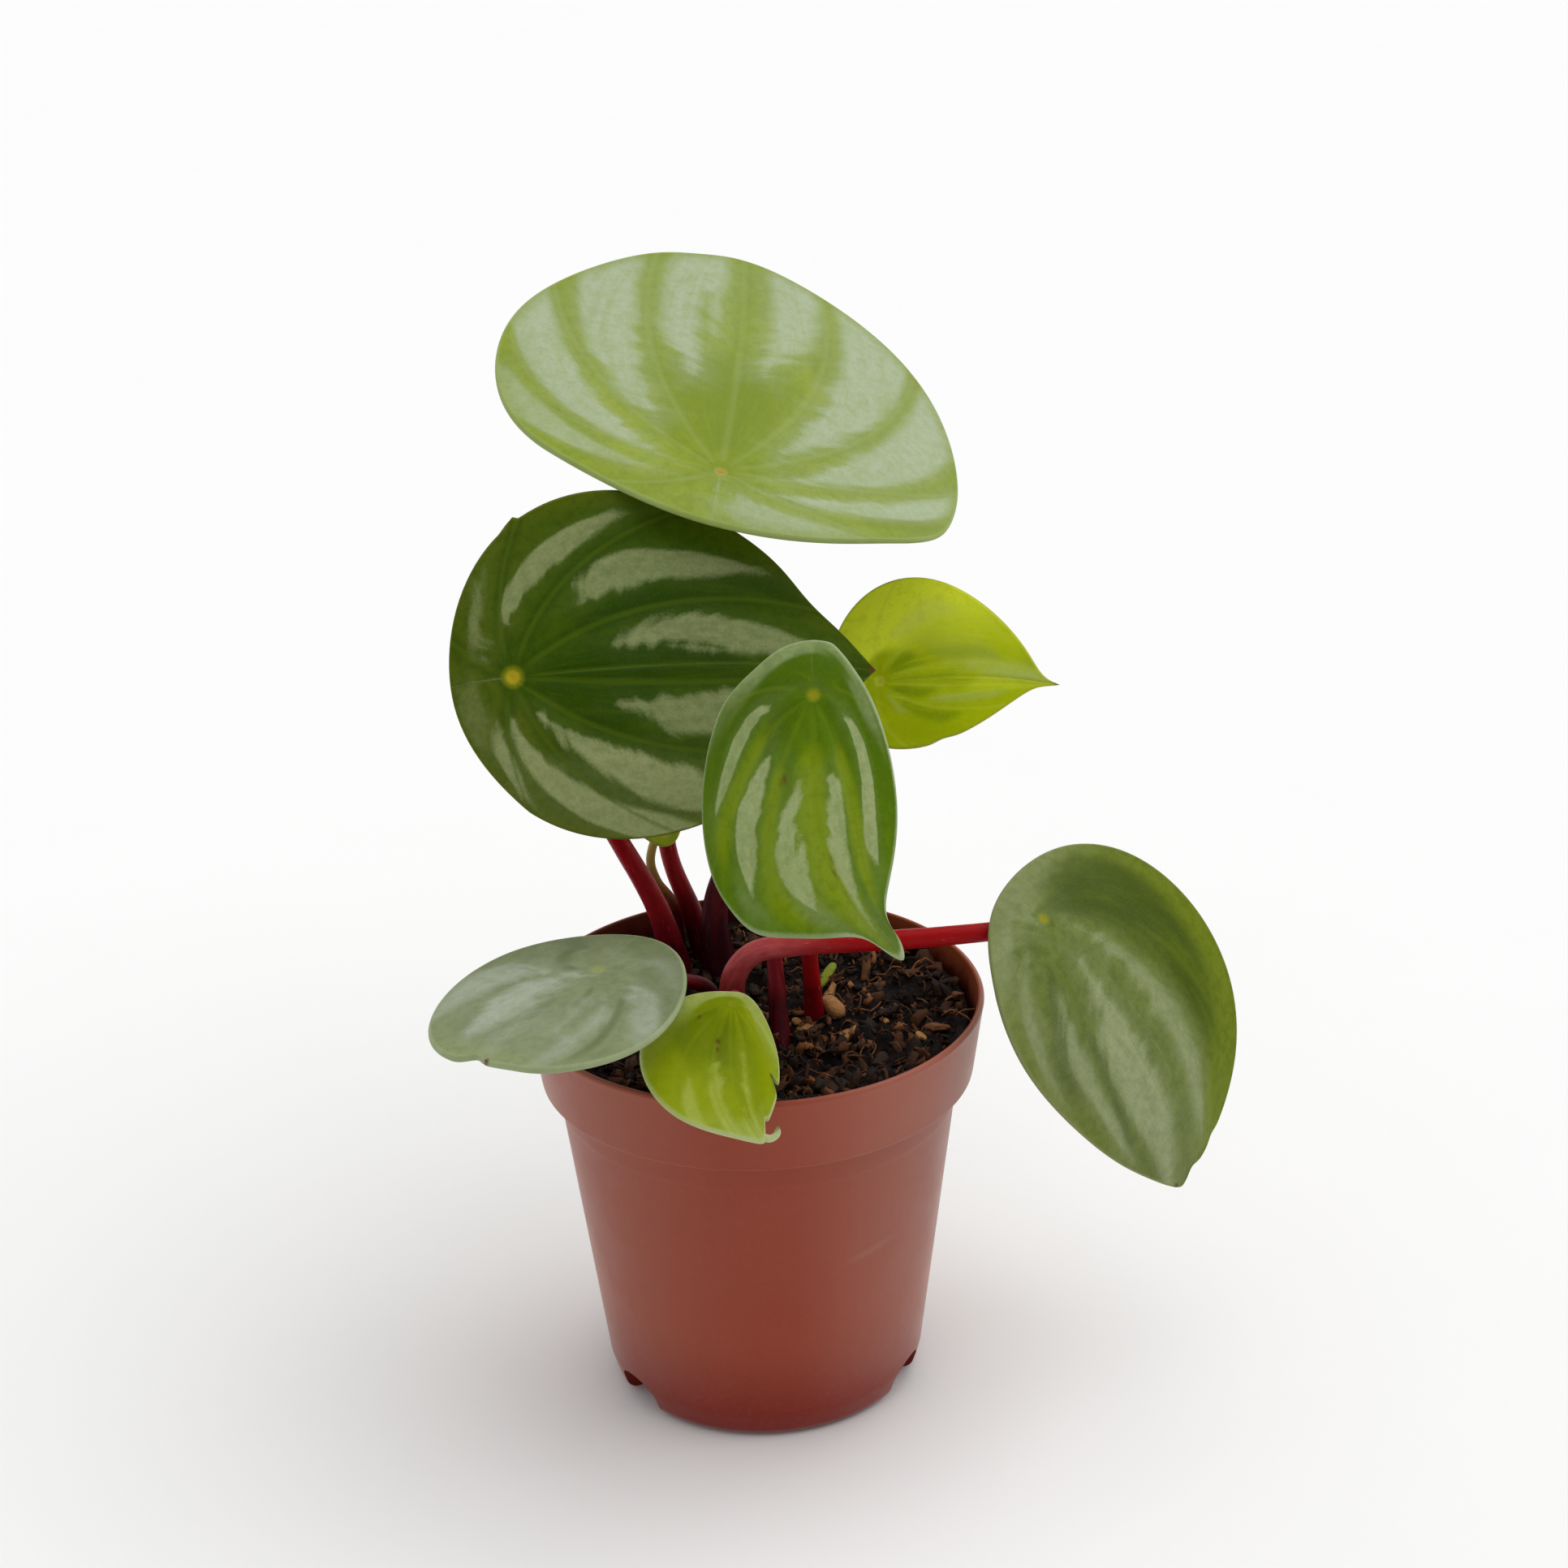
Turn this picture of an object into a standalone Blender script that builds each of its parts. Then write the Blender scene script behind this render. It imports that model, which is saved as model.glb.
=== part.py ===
"""Potted watermelon peperomia: eight peltate leaves on red petioles, in a small
plastic nursery pot.  Metres, +Z up, origin at the centre of the pot's flat base."""
import math
import random

import bmesh
import bpy
from mathutils import Matrix, Vector

MM = 0.001
GAP = 0.3                     # clearance between touching pieces, mm
SOIL_GAP = 0.42               # soil to pot, between their different facets

# pot, in millimetres
POT_HEIGHT = 56.0
RIM_RADIUS = 30.0
COLLAR_LOW_RADIUS = 28.35     # collar band, measured where it steps in to the body
COLLAR_DEPTH = 10.4
BODY_TOP_RADIUS = 26.85
FOOT_RADIUS = 21.5
FOOT_HEIGHT = 3.7
BASE_RADIUS = 19.4
WALL = 0.95
FLOOR = 1.3
RING_DEPTH = 3.8              # how far below the collar the body's faint ring ends
RING_STANDOUT = 0.16
POT_SIDES = 72

# drain arches in the foot
ARCH_AZIMUTHS = (-56.0, 64.0, 184.0)   # degrees from -Y toward +X
ARCH_WIDTH = 7.8
ARCH_HEIGHT = 4.8
ARCH_INNER_RADIUS = 15.6
SLOT_WIDTH = 4.6
SLOT_DEPTH = 2.2

# soil
SOIL_LEVEL = 51.4
SOIL_RELIEF = 0.9             # gentle lumps
SOIL_CRUMB = 0.45             # roughness of the surface
CROWN_MOUND = 1.3             # soil heaped where the petioles crowd together
CROWN_AT = (-6.5, 15.0)
SOIL_SIDES = 48
SOIL_RINGS = 12
HOLE_CLEARANCE = 0.3
BURIED = 8.0

# leaves
BLADE = 0.9                   # blade thickness
BLADE_SIDES = 40
BLADE_RINGS = (0.16, 0.36, 0.56, 0.74, 0.88, 1.0)
PETIOLE_SIDES = 10

# Every leaf is laid out flat around its petiole, then bent along and across its
# midrib.  at: petiole attachment; heading, droop, roll: way the midrib points;
# tipward, baseward: blade length each side of the attachment; half: half widths
# left and right of the midrib; point: how far the sides draw in toward the tip;
# shift: which end the widest place leans to; drip: extra length of the drip tip;
# bend: fall along the midrib to the tip and to the base; cross: curvature across
# each half (1/mm, negative falls to the margin); sickle: sideways curve of the
# midrib; swing: sideways sweep of the tip; twist: turn of the tip about the
# midrib; wave: margin waves as (height, count, phase); dents: margin dents as
# (angle, depth, width).
LEAVES = {
    "leaf_top": dict(
        at=(-2.4, 17.0, 122.7), heading=83.4, droop=-13, roll=15, tipward=58.8, baseward=10.4,
        half=(32.6, 34.4), point=0.0, shift=(0.02, 0.07), drip=0.3, bend=(3, 13),
        cross=(-0.007, -0.013), sickle=0.02, swing=1.2, twist=2.5,
        wave=(0.4, 5, 0.6), dents=((0.25, 0.008, 0.2),)),
    "leaf_left": dict(
        at=(-29.2, -4.0, 103.6), heading=12.9, droop=0, roll=58, tipward=46.7, baseward=8,
        half=(23.1, 22.0), point=0.65, shift=(-0.09, -0.08), drip=1.2, bend=(10.4, 36),
        cross=(-0.001, -0.018), sickle=-0.058, swing=-1.0, twist=0.2,
        wave=(0.3, 4, 1.0), dents=((0.62, 0.03, 0.22),)),
    "leaf_front": dict(
        at=(8.2, -20.0, 106.4), heading=-88.8, droop=54, roll=9, tipward=31.2, baseward=7.9,
        half=(9.7, 15.9), point=0.02, shift=(-0.21, -0.08), drip=2.0, bend=(-1.5, 36),
        cross=(-0.023, -0.038), sickle=-0.048, swing=10.7, twist=6.9,
        wave=(0.12, 4, 0.0), dents=()),
    "leaf_back": dict(
        at=(18.1, 24.0, 90.2), heading=-2, droop=-2.8, roll=56.6, tipward=22.2, baseward=6.9,
        half=(14.1, 9.4), point=0.84, shift=(-0.14, 0.03), drip=1.4, bend=(5, 10.4),
        cross=(-0.001, -0.010), sickle=0.012, swing=-1.7, twist=1.4,
        wave=(0.15, 5, 0.4), dents=()),
    "leaf_right": dict(
        at=(37.3, -8.0, 69.4), heading=-12.3, droop=37.7, roll=28, tipward=45.3, baseward=6.5,
        half=(19.5, 17.7), point=0.32, shift=(0.07, 0.07), drip=0.6, bend=(49.3, 23),
        cross=(-0.005, -0.026), sickle=-0.09, swing=-2.6, twist=15.4,
        wave=(0.25, 5, 2.0), dents=((0.16, 0.02, 0.07),)),
    "leaf_low_left": dict(
        at=(-19.7, -18.0, 69.0), heading=-119.5, droop=2.7, roll=2, tipward=24.8, baseward=10.2,
        half=(15.0, 16.3), point=-0.18, shift=(-0.05, -0.05), drip=-0.6, bend=(3.7, 2.5),
        cross=(-0.004, -0.004), sickle=-0.01, swing=0.3, twist=2.4,
        wave=(0.3, 3, 0.5), dents=((-0.16, 0.05, 0.08),)),
    "leaf_low_front": dict(
        at=(-2.9, -21.0, 65.2), heading=-94, droop=25, roll=-6.3, tipward=18.8, baseward=2.2,
        half=(6.2, 11.3), point=0.11, shift=(-0.22, -0.01), drip=0.2, bend=(19.7, 8.3),
        cross=(-0.031, -0.009), sickle=0.027, swing=3.9, twist=1.6,
        wave=(0.2, 5, 1.0), dents=((0.66, 0.16, 0.06),)),
    "leaf_young": dict(
        at=(-12.0, 15.3, 71.9), heading=174, droop=-68, roll=-60, tipward=47, baseward=2.0,
        half=(6.2, 6.2), point=0.5, shift=(0.0, 0.0), drip=1.0, bend=(-4, 10),
        cross=(0.035, 0.035), sickle=0.0, swing=0.0, twist=0,
        wave=(0.1, 5, 1.0), dents=()),
}

# Petioles: where the foot enters the soil, points on the way up, the radius at
# the foot and at the blade, and the length of the straight run in to the blade.
PETIOLES = {
    "petiole_top": dict(leaf="leaf_top", foot=(-6.4, 19.6), radius=(1.15, 1.0),
                        via=((-7.6, 19.4, 59.5), (-10.7, 19.2, 69.0), (-11.0, 20.2, 90.0),
                             (-6.6, 20.4, 110.0))),
    "petiole_left": dict(leaf="leaf_left", foot=(-10.4, 14.6), radius=(1.4, 1.15),
                         via=((-12.7, 13.4, 62.0), (-17.2, 10.0, 73.7), (-23.5, 6.0, 88.0))),
    "petiole_young": dict(leaf="leaf_young", foot=(-10.2, 18.8), radius=(0.7, 0.55),
                          via=((-10.8, 17.4, 61.2), (-12.9, 16.4, 65.2), (-13.6, 16.1, 68.6))),
    "petiole_front": dict(leaf="leaf_front", foot=(7.8, 1.2), radius=(1.05, 0.9),
                          via=((7.6, 0.9, 56.0), (7.3, -0.2, 62.0), (7.4, -5.0, 80.0),
                               (8.2, -12.6, 98.0))),
    "petiole_back": dict(leaf="leaf_back", foot=(-4.6, 14.0), radius=(1.3, 0.95),
                         via=((-6.2, 15.2, 60.0), (-5.3, 16.6, 65.0), (1.0, 21.0, 75.0),
                              (12.5, 26.5, 85.0))),
    "petiole_right": dict(leaf="leaf_right", foot=(-3.3, -4.4), radius=(1.35, 1.2),
                          via=((-3.2, -4.6, 57.0), (-2.5, -5.4, 61.8), (0.1, -6.6, 65.3),
                               (5.0, -7.6, 66.6), (18.4, -8.5, 67.4), (30.5, -8.6, 68.2))),
    "petiole_low_left": dict(leaf="leaf_low_left", foot=(-4.6, 1.6), radius=(1.0, 0.85),
                             via=((-6.2, 0.8, 56.4), (-9.5, -1.6, 59.0), (-15.6, -11.4, 62.6))),
    "petiole_low_front": dict(leaf="leaf_low_front", foot=(-2.4, -9.6), radius=(0.95, 0.85),
                              via=((-2.4, -10.6, 57.0), (-2.6, -13.0, 61.9), (-2.7, -15.6, 63.4),
                                   (-2.9, -18.4, 63.1)), lead=0.7),
    "petiole_bare": dict(leaf=None, foot=(3.1, -5.6), radius=(1.15, 0.9),
                         via=((2.9, -2.0, 56.2), (2.7, 1.0, 60.2), (2.8, 3.2, 68.0),
                              (3.2, 3.8, 74.0))),
}

TERRACOTTA = (0.30, 0.085, 0.045)
SOIL_BROWN = (0.035, 0.022, 0.015)
PETIOLE_RED = (0.32, 0.02, 0.03)
LEAF_COLOURS = {
    "leaf_top": (0.35, 0.45, 0.14),
    "leaf_left": (0.05, 0.13, 0.01),
    "leaf_front": (0.13, 0.25, 0.02),
    "leaf_back": (0.34, 0.42, 0.01),
    "leaf_right": (0.13, 0.20, 0.05),
    "leaf_low_left": (0.28, 0.33, 0.17),
    "leaf_low_front": (0.32, 0.40, 0.01),
    "leaf_young": (0.34, 0.42, 0.02),
}


def clear_scene():
    for obj in list(bpy.data.objects):
        bpy.data.objects.remove(obj, do_unlink=True)


def make_material(name, colour, roughness):
    material = bpy.data.materials.new(name)
    material.use_nodes = True
    shader = material.node_tree.nodes["Principled BSDF"]
    shader.inputs["Base Color"].default_value = (*colour, 1.0)
    shader.inputs["Roughness"].default_value = roughness
    shader.inputs["Metallic"].default_value = 0.0
    material.diffuse_color = (*colour, 1.0)
    return material


def mesh_object(name, verts, faces, material=None):
    """Object from millimetre points, with its faces turned outward."""
    mesh = bpy.data.meshes.new(name)
    mesh.from_pydata([(x * MM, y * MM, z * MM) for x, y, z in verts], [], faces)
    bm = bmesh.new()
    bm.from_mesh(mesh)
    bmesh.ops.recalc_face_normals(bm, faces=bm.faces)
    bm.to_mesh(mesh)
    bm.free()
    obj = bpy.data.objects.new(name, mesh)
    bpy.context.scene.collection.objects.link(obj)
    if material is not None:
        mesh.materials.append(material)
    return obj


def smooth(obj, angle=40.0):
    obj.data.shade_smooth()
    obj.data.set_sharp_from_angle(angle=math.radians(angle))


# ---------------------------------------------------------------- turned shapes

def revolve(name, profile, sides, material=None, phase=0.0):
    """Closed solid turned from (radius, z) points that start and end on the axis."""
    verts = []
    rows = []
    for radius, z in profile:
        if radius < 1e-6:
            rows.append([len(verts)])
            verts.append((0.0, 0.0, z))
            continue
        row = []
        for i in range(sides):
            a = 2.0 * math.pi * (i + phase) / sides
            row.append(len(verts))
            verts.append((radius * math.sin(a), -radius * math.cos(a), z))
        rows.append(row)
    faces = []
    for low, high in zip(rows, rows[1:]):
        for i in range(sides):
            j = (i + 1) % sides
            if len(low) == 1:
                faces.append((low[0], high[i], high[j]))
            elif len(high) == 1:
                faces.append((low[i], high[0], low[j]))
            else:
                faces.append((low[i], low[j], high[j], high[i]))
    return mesh_object(name, verts, faces, material)


def body_radius(z):
    """Outer radius of the straight tapered body at height z."""
    top = POT_HEIGHT - COLLAR_DEPTH
    return FOOT_RADIUS + (BODY_TOP_RADIUS - FOOT_RADIUS) * (z - FOOT_HEIGHT) / (top - FOOT_HEIGHT)


def pot_outer_profile():
    step = POT_HEIGHT - COLLAR_DEPTH
    return [
        (0.0, 0.0),
        (BASE_RADIUS, 0.0),
        (BASE_RADIUS + 1.2, 0.9),
        (FOOT_RADIUS, FOOT_HEIGHT),
        (body_radius(24.0), 24.0),
        (body_radius(step - RING_DEPTH - 0.5), step - RING_DEPTH - 0.5),
        (body_radius(step - RING_DEPTH) + RING_STANDOUT, step - RING_DEPTH),
        (body_radius(step - 0.3), step - 0.3),
        (COLLAR_LOW_RADIUS - 0.25, step + 0.25),
        (COLLAR_LOW_RADIUS + 0.05, step + 1.1),
        (RIM_RADIUS - 0.12, POT_HEIGHT - 0.9),
        (RIM_RADIUS, POT_HEIGHT - 0.45),
        (RIM_RADIUS - 0.3, POT_HEIGHT),
        (0.0, POT_HEIGHT),
    ]


def cavity_profile(shrink, top):
    """Inner face of the pot, drawn in by shrink, cut off flat at the height top."""
    step = POT_HEIGHT - COLLAR_DEPTH
    slope = (RIM_RADIUS - 0.12 - COLLAR_LOW_RADIUS) / (COLLAR_DEPTH - 2.0)
    inset = WALL + shrink

    def collar_inner(z):
        return COLLAR_LOW_RADIUS + slope * (z - step - 1.1) - inset

    return [
        (0.0, FLOOR + shrink),
        (BASE_RADIUS + 0.2 - inset, FLOOR + shrink),
        (FOOT_RADIUS - inset, FOOT_HEIGHT + 0.9 + shrink),
        (body_radius(step - 0.2) - inset, step - 0.2),
        (collar_inner(step + 1.4), step + 1.4),
        (collar_inner(top), top),
        (0.0, top),
    ]


def arch_cutter(name, azimuth, grow, bottom):
    """Arched niche block that reaches from outside the foot in to the arch's back."""
    width = ARCH_WIDTH / 2.0 + grow
    height = ARCH_HEIGHT + grow
    inner = ARCH_INNER_RADIUS - grow
    outer = FOOT_RADIUS + 6.0
    outline = [(-width, bottom), (width, bottom)]
    steps = 8
    for i in range(steps + 1):
        a = math.pi * i / steps
        outline.append((width * math.cos(a), height * (0.55 + 0.45 * math.sin(a))))
    turn = math.radians(azimuth)
    verts = []
    for reach in (inner, outer):
        for across, up in outline:
            x = across * math.cos(turn) + reach * math.sin(turn)
            y = across * math.sin(turn) - reach * math.cos(turn)
            verts.append((x, y, up))
    n = len(outline)
    faces = [tuple(range(n)), tuple(range(2 * n - 1, n - 1, -1))]
    for i in range(n):
        j = (i + 1) % n
        faces.append((i, j, n + j, n + i))
    return mesh_object(name, verts, faces)


def slot_cutter(name, azimuth):
    """Drain slot through the niche's ceiling, just inside the wall."""
    turn = math.radians(azimuth)
    centre = body_radius(ARCH_HEIGHT) - WALL - 0.6 - SLOT_DEPTH / 2.0
    low = ARCH_HEIGHT - 2.2
    high = ARCH_HEIGHT + 3.0
    verts = []
    for up in (low, high):
        for sx, sy in ((-1, -1), (1, -1), (1, 1), (-1, 1)):
            across = sx * SLOT_WIDTH / 2.0
            reach = centre - sy * SLOT_DEPTH / 2.0
            verts.append((across * math.cos(turn) + reach * math.sin(turn),
                          across * math.sin(turn) - reach * math.cos(turn), up))
    faces = [(0, 3, 2, 1), (4, 5, 6, 7), (0, 1, 5, 4), (1, 2, 6, 5), (2, 3, 7, 6), (3, 0, 4, 7)]
    return mesh_object(name, verts, faces)


def as_cutter(obj):
    obj.hide_render = True
    obj.display_type = "WIRE"
    return obj


def boolean(target, other, operation="DIFFERENCE"):
    modifier = target.modifiers.new(operation.title(), "BOOLEAN")
    modifier.operation = operation
    modifier.solver = "EXACT"
    modifier.object = as_cutter(other)
    return modifier


def apply_modifiers(obj):
    """Keep the evaluated shape and drop the cutters that made it."""
    cutters = [m.object for m in obj.modifiers if m.type == "BOOLEAN"]
    depsgraph = bpy.context.evaluated_depsgraph_get()
    mesh = bpy.data.meshes.new_from_object(obj.evaluated_get(depsgraph))
    obj.modifiers.clear()
    old = obj.data
    mesh.name = old.name
    obj.data = mesh
    bpy.data.meshes.remove(old)
    for cutter in cutters:
        bpy.data.objects.remove(cutter, do_unlink=True)


def build_pot():
    pot = revolve("pot", pot_outer_profile(), POT_SIDES,
                  make_material("terracotta_plastic", TERRACOTTA, 0.55))
    cavity = revolve("pot_cavity", cavity_profile(0.0, POT_HEIGHT + 1.0), POT_SIDES)
    for azimuth in ARCH_AZIMUTHS:
        boolean(cavity, arch_cutter("arch_shell", azimuth, WALL, -2.0))
    apply_modifiers(cavity)
    boolean(pot, cavity)
    for azimuth in ARCH_AZIMUTHS:
        boolean(pot, arch_cutter("arch", azimuth, 0.0, -2.0))
        boolean(pot, slot_cutter("drain_slot", azimuth))
    apply_modifiers(pot)
    smooth(pot, 35.0)
    return pot


# ------------------------------------------------------------------------- soil

def soil_height(x, y):
    """Lumpy top of the soil, higher round the crown, level at the pot's wall."""
    r = math.hypot(x, y)
    fade = max(0.0, 1.0 - (r / 28.0) ** 4)
    lumps = (math.sin(x * 0.62 + 1.3) * math.cos(y * 0.57 - 0.4)
             + 0.7 * math.sin(x * 1.15 - y * 0.83 + 2.1)
             + 0.5 * math.cos(x * 1.63 + y * 1.41))
    mound = CROWN_MOUND * math.exp(-((x - CROWN_AT[0]) ** 2 + (y - CROWN_AT[1]) ** 2) / 45.0)
    return SOIL_LEVEL + fade * (SOIL_RELIEF * lumps / 2.2 + mound)


def build_soil():
    """Plug that fills the pot, and the rough surface, laid out in rings, that tops it."""
    sides = SOIL_SIDES
    rings = SOIL_RINGS
    top_radius = RIM_RADIUS - 1.55 - WALL - SOIL_GAP
    draw = random.Random(7)
    verts = [(0.0, 0.0, soil_height(0.0, 0.0))]
    faces = []
    for j in range(1, rings + 1):
        radius = top_radius * j / rings
        for i in range(sides):
            a = 2.0 * math.pi * (i + 0.5 * (j % 2)) / sides
            x = radius * math.sin(a)
            y = -radius * math.cos(a)
            rough = 0.0 if j == rings else draw.uniform(-SOIL_CRUMB, SOIL_CRUMB)
            verts.append((x, y, soil_height(x, y) + rough))
    for i in range(sides):
        faces.append((0, 1 + i, 1 + (i + 1) % sides))
    for j in range(1, rings):
        low = 1 + (j - 1) * sides
        high = 1 + j * sides
        for i in range(sides):
            k = (i + 1) % sides
            if j % 2:
                faces.append((low + i, high + i, low + k))
                faces.append((low + k, high + i, high + k))
            else:
                faces.append((low + i, high + i, high + k))
                faces.append((low + i, high + k, low + k))
    rim = 1 + (rings - 1) * sides
    base = len(verts)
    for i in range(sides):
        a = 2.0 * math.pi * (i + 0.5 * (rings % 2)) / sides
        verts.append((top_radius * math.sin(a), -top_radius * math.cos(a), -5.0))
    for i in range(sides):
        k = (i + 1) % sides
        faces.append((rim + i, base + i, base + k, rim + k))
    faces.append(tuple(base + i for i in reversed(range(sides))))
    relief = mesh_object("soil_top", verts, faces)
    soil = revolve("soil", cavity_profile(SOIL_GAP, POT_HEIGHT - 1.0), sides,
                   make_material("potting_soil", SOIL_BROWN, 0.95))
    return soil, relief


# ----------------------------------------------------------------------- leaves

def leaf_flat(leaf, rho, tau):
    """Flat point of the blade: rho runs from the petiole (0) to the margin (1),
    tau from the tip (0) round to the base (pi)."""
    length = leaf["tipward"] + leaf["baseward"]
    side = 0 if tau >= 0.0 else 1
    point = leaf["point"]
    shift = leaf["shift"][side]

    def half_width(t):
        return abs(math.sin(t)) * abs(math.sin(t / 2.0)) ** point * (1.0 - shift * math.cos(t))

    widest = max(half_width(math.pi * (k + 0.5) / 200.0) for k in range(200))
    across = half_width(max(abs(tau), 1e-4)) / widest * leaf["half"][side]
    if tau < 0.0:
        across = -across
    along = -leaf["baseward"] + length * (1.0 + math.cos(tau)) / 2.0
    draw_in = 1.0
    for where, depth, width in leaf["dents"]:
        draw_in -= depth * rho ** 6 * math.exp(-((tau - where) / width) ** 2)
    u = rho * along * draw_in + leaf["drip"] * rho ** 6 * math.exp(-(tau / 0.2) ** 2)
    v = rho * across * draw_in + leaf["swing"] * rho ** 4 * math.exp(-(tau / 0.5) ** 2)
    return u, v


def leaf_frame(leaf):
    turn = (Matrix.Rotation(math.radians(leaf["heading"]), 3, "Z")
            @ Matrix.Rotation(math.radians(leaf["droop"]), 3, "Y")
            @ Matrix.Rotation(math.radians(leaf["roll"]), 3, "X"))
    return turn, Vector(leaf["at"])


def leaf_point(leaf, frame, u, v, lift=0.0):
    """Mid-blade point above the flat point (u, v), in millimetres."""
    reach = leaf["tipward"] + leaf["drip"]
    if u >= 0.0:
        fall = math.radians(leaf["bend"][0]) or 1e-4
        slope = fall * u / reach
        x = reach / fall * math.sin(slope)
        z = -reach / fall * (1.0 - math.cos(slope))
    else:
        fall = math.radians(leaf["bend"][1]) or 1e-4
        slope = fall * u / leaf["baseward"]
        x = leaf["baseward"] / fall * math.sin(slope)
        z = -leaf["baseward"] / fall * (1.0 - math.cos(slope))
    v += leaf["sickle"] * u * u / reach
    curve = leaf["cross"][0] if v >= 0.0 else leaf["cross"][1]
    across = math.sin(curve * v) / curve
    rise = (1.0 - math.cos(curve * v)) / curve + lift
    twist = math.radians(leaf["twist"]) * min(max(u / reach, 0.0), 1.0)
    side = across * math.cos(twist) - rise * math.sin(twist)
    rise = across * math.sin(twist) + rise * math.cos(twist)
    local = Vector((x + rise * math.sin(slope), side, z + rise * math.cos(slope)))
    return frame[0] @ local + frame[1]


def margin_lift(leaf, tau, rho):
    """Waves that grow toward the margin."""
    height, count, phase = leaf["wave"]
    return height * rho ** 3 * math.sin(count * tau + phase)


def blade_normal(leaf, frame, u, v, lift):
    step = 0.05
    along = leaf_point(leaf, frame, u + step, v, lift) - leaf_point(leaf, frame, u - step, v, lift)
    across = leaf_point(leaf, frame, u, v + step, lift) - leaf_point(leaf, frame, u, v - step, lift)
    return along.cross(across).normalized()


def margin_angles(leaf, count):
    """Evenly spread margin angles, with extra ones where the margin is dented."""
    angles = [2.0 * math.pi * i / count - math.pi for i in range(count)]
    for where, _, width in leaf["dents"]:
        if width < 0.12:
            angles = [a for a in angles if abs(a - where) > 2.2 * width]
            angles += [where + k * width for k in (-2.0, -1.0, 0.0, 1.0, 2.0)]
    return sorted(angles)


def build_leaf(name, leaf, colour):
    """Thin closed blade: upper and lower faces split alike, joined round the margin."""
    frame = leaf_frame(leaf)
    angles = margin_angles(leaf, BLADE_SIDES)
    count = len(angles)
    spots = [(0.0, 0.0, 0.0)]
    for rho in BLADE_RINGS:
        for a in angles:
            u, v = leaf_flat(leaf, rho, a)
            spots.append((u, v, margin_lift(leaf, a, rho)))
    upper = []
    lower = []
    for u, v, lift in spots:
        middle = leaf_point(leaf, frame, u, v, lift)
        normal = blade_normal(leaf, frame, u, v, lift)
        upper.append(middle + normal * BLADE / 2.0)
        lower.append(middle - normal * BLADE / 2.0)
    n = len(spots)
    faces = []
    triangles = [(0, 1 + i, 1 + (i + 1) % count) for i in range(count)]
    for j in range(len(BLADE_RINGS) - 1):
        low = 1 + j * count
        high = low + count
        for i in range(count):
            k = (i + 1) % count
            triangles.append((low + i, high + i, high + k))
            triangles.append((low + i, high + k, low + k))
    for a, b, c in triangles:
        faces.append((a, b, c))
        faces.append((n + a, n + c, n + b))
    edge = 1 + (len(BLADE_RINGS) - 1) * count
    for i in range(count):
        k = (i + 1) % count
        faces.append((edge + i, n + edge + i, n + edge + k))
        faces.append((edge + i, n + edge + k, edge + k))
    obj = mesh_object(name, upper + lower, faces, make_material(name + "_green", colour, 0.42))
    smooth(obj, 50.0)
    return obj


# --------------------------------------------------------------------- petioles

def spline(points, steps):
    """Centripetal Catmull-Rom curve through the points, evenly stepped per span."""
    points = [Vector(p) for p in points]
    ends = [points[0] * 2.0 - points[1]] + points + [points[-1] * 2.0 - points[-2]]
    curve = []
    for k in range(len(points) - 1):
        p0, p1, p2, p3 = ends[k:k + 4]
        t0 = 0.0
        t1 = t0 + max((p1 - p0).length, 1e-6) ** 0.5
        t2 = t1 + max((p2 - p1).length, 1e-6) ** 0.5
        t3 = t2 + max((p3 - p2).length, 1e-6) ** 0.5
        for s in range(steps):
            t = t1 + (t2 - t1) * s / steps
            a1 = p0 * ((t1 - t) / (t1 - t0)) + p1 * ((t - t0) / (t1 - t0))
            a2 = p1 * ((t2 - t) / (t2 - t1)) + p2 * ((t - t1) / (t2 - t1))
            a3 = p2 * ((t3 - t) / (t3 - t2)) + p3 * ((t - t2) / (t3 - t2))
            b1 = a1 * ((t2 - t) / (t2 - t0)) + a2 * ((t - t0) / (t2 - t0))
            b2 = a2 * ((t3 - t) / (t3 - t1)) + a3 * ((t - t1) / (t3 - t1))
            curve.append(b1 * ((t2 - t) / (t2 - t1)) + b2 * ((t - t1) / (t2 - t1)))
    curve.append(points[-1])
    return curve


def tube(name, path, radii, sides, material=None, end_normal=None):
    """Closed round tube along the path, with its last ring square to end_normal."""
    verts = []
    side = Vector((1.0, 0.0, 0.0))
    for k, here in enumerate(path):
        ahead = path[min(k + 1, len(path) - 1)]
        behind = path[max(k - 1, 0)]
        direction = (ahead - behind).normalized()
        if end_normal is not None and k == len(path) - 1:
            direction = end_normal
        side = (side - direction * side.dot(direction)).normalized()
        other = direction.cross(side)
        for i in range(sides):
            a = 2.0 * math.pi * i / sides
            verts.append(here + (side * math.cos(a) + other * math.sin(a)) * radii[k])
    faces = [tuple(reversed(range(sides)))]
    for k in range(len(path) - 1):
        for i in range(sides):
            j = (i + 1) % sides
            low = k * sides
            faces.append((low + i, low + j, low + sides + j, low + sides + i))
    top = (len(path) - 1) * sides
    faces.append(tuple(top + i for i in range(sides)))
    return mesh_object(name, verts, faces, material)


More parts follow.
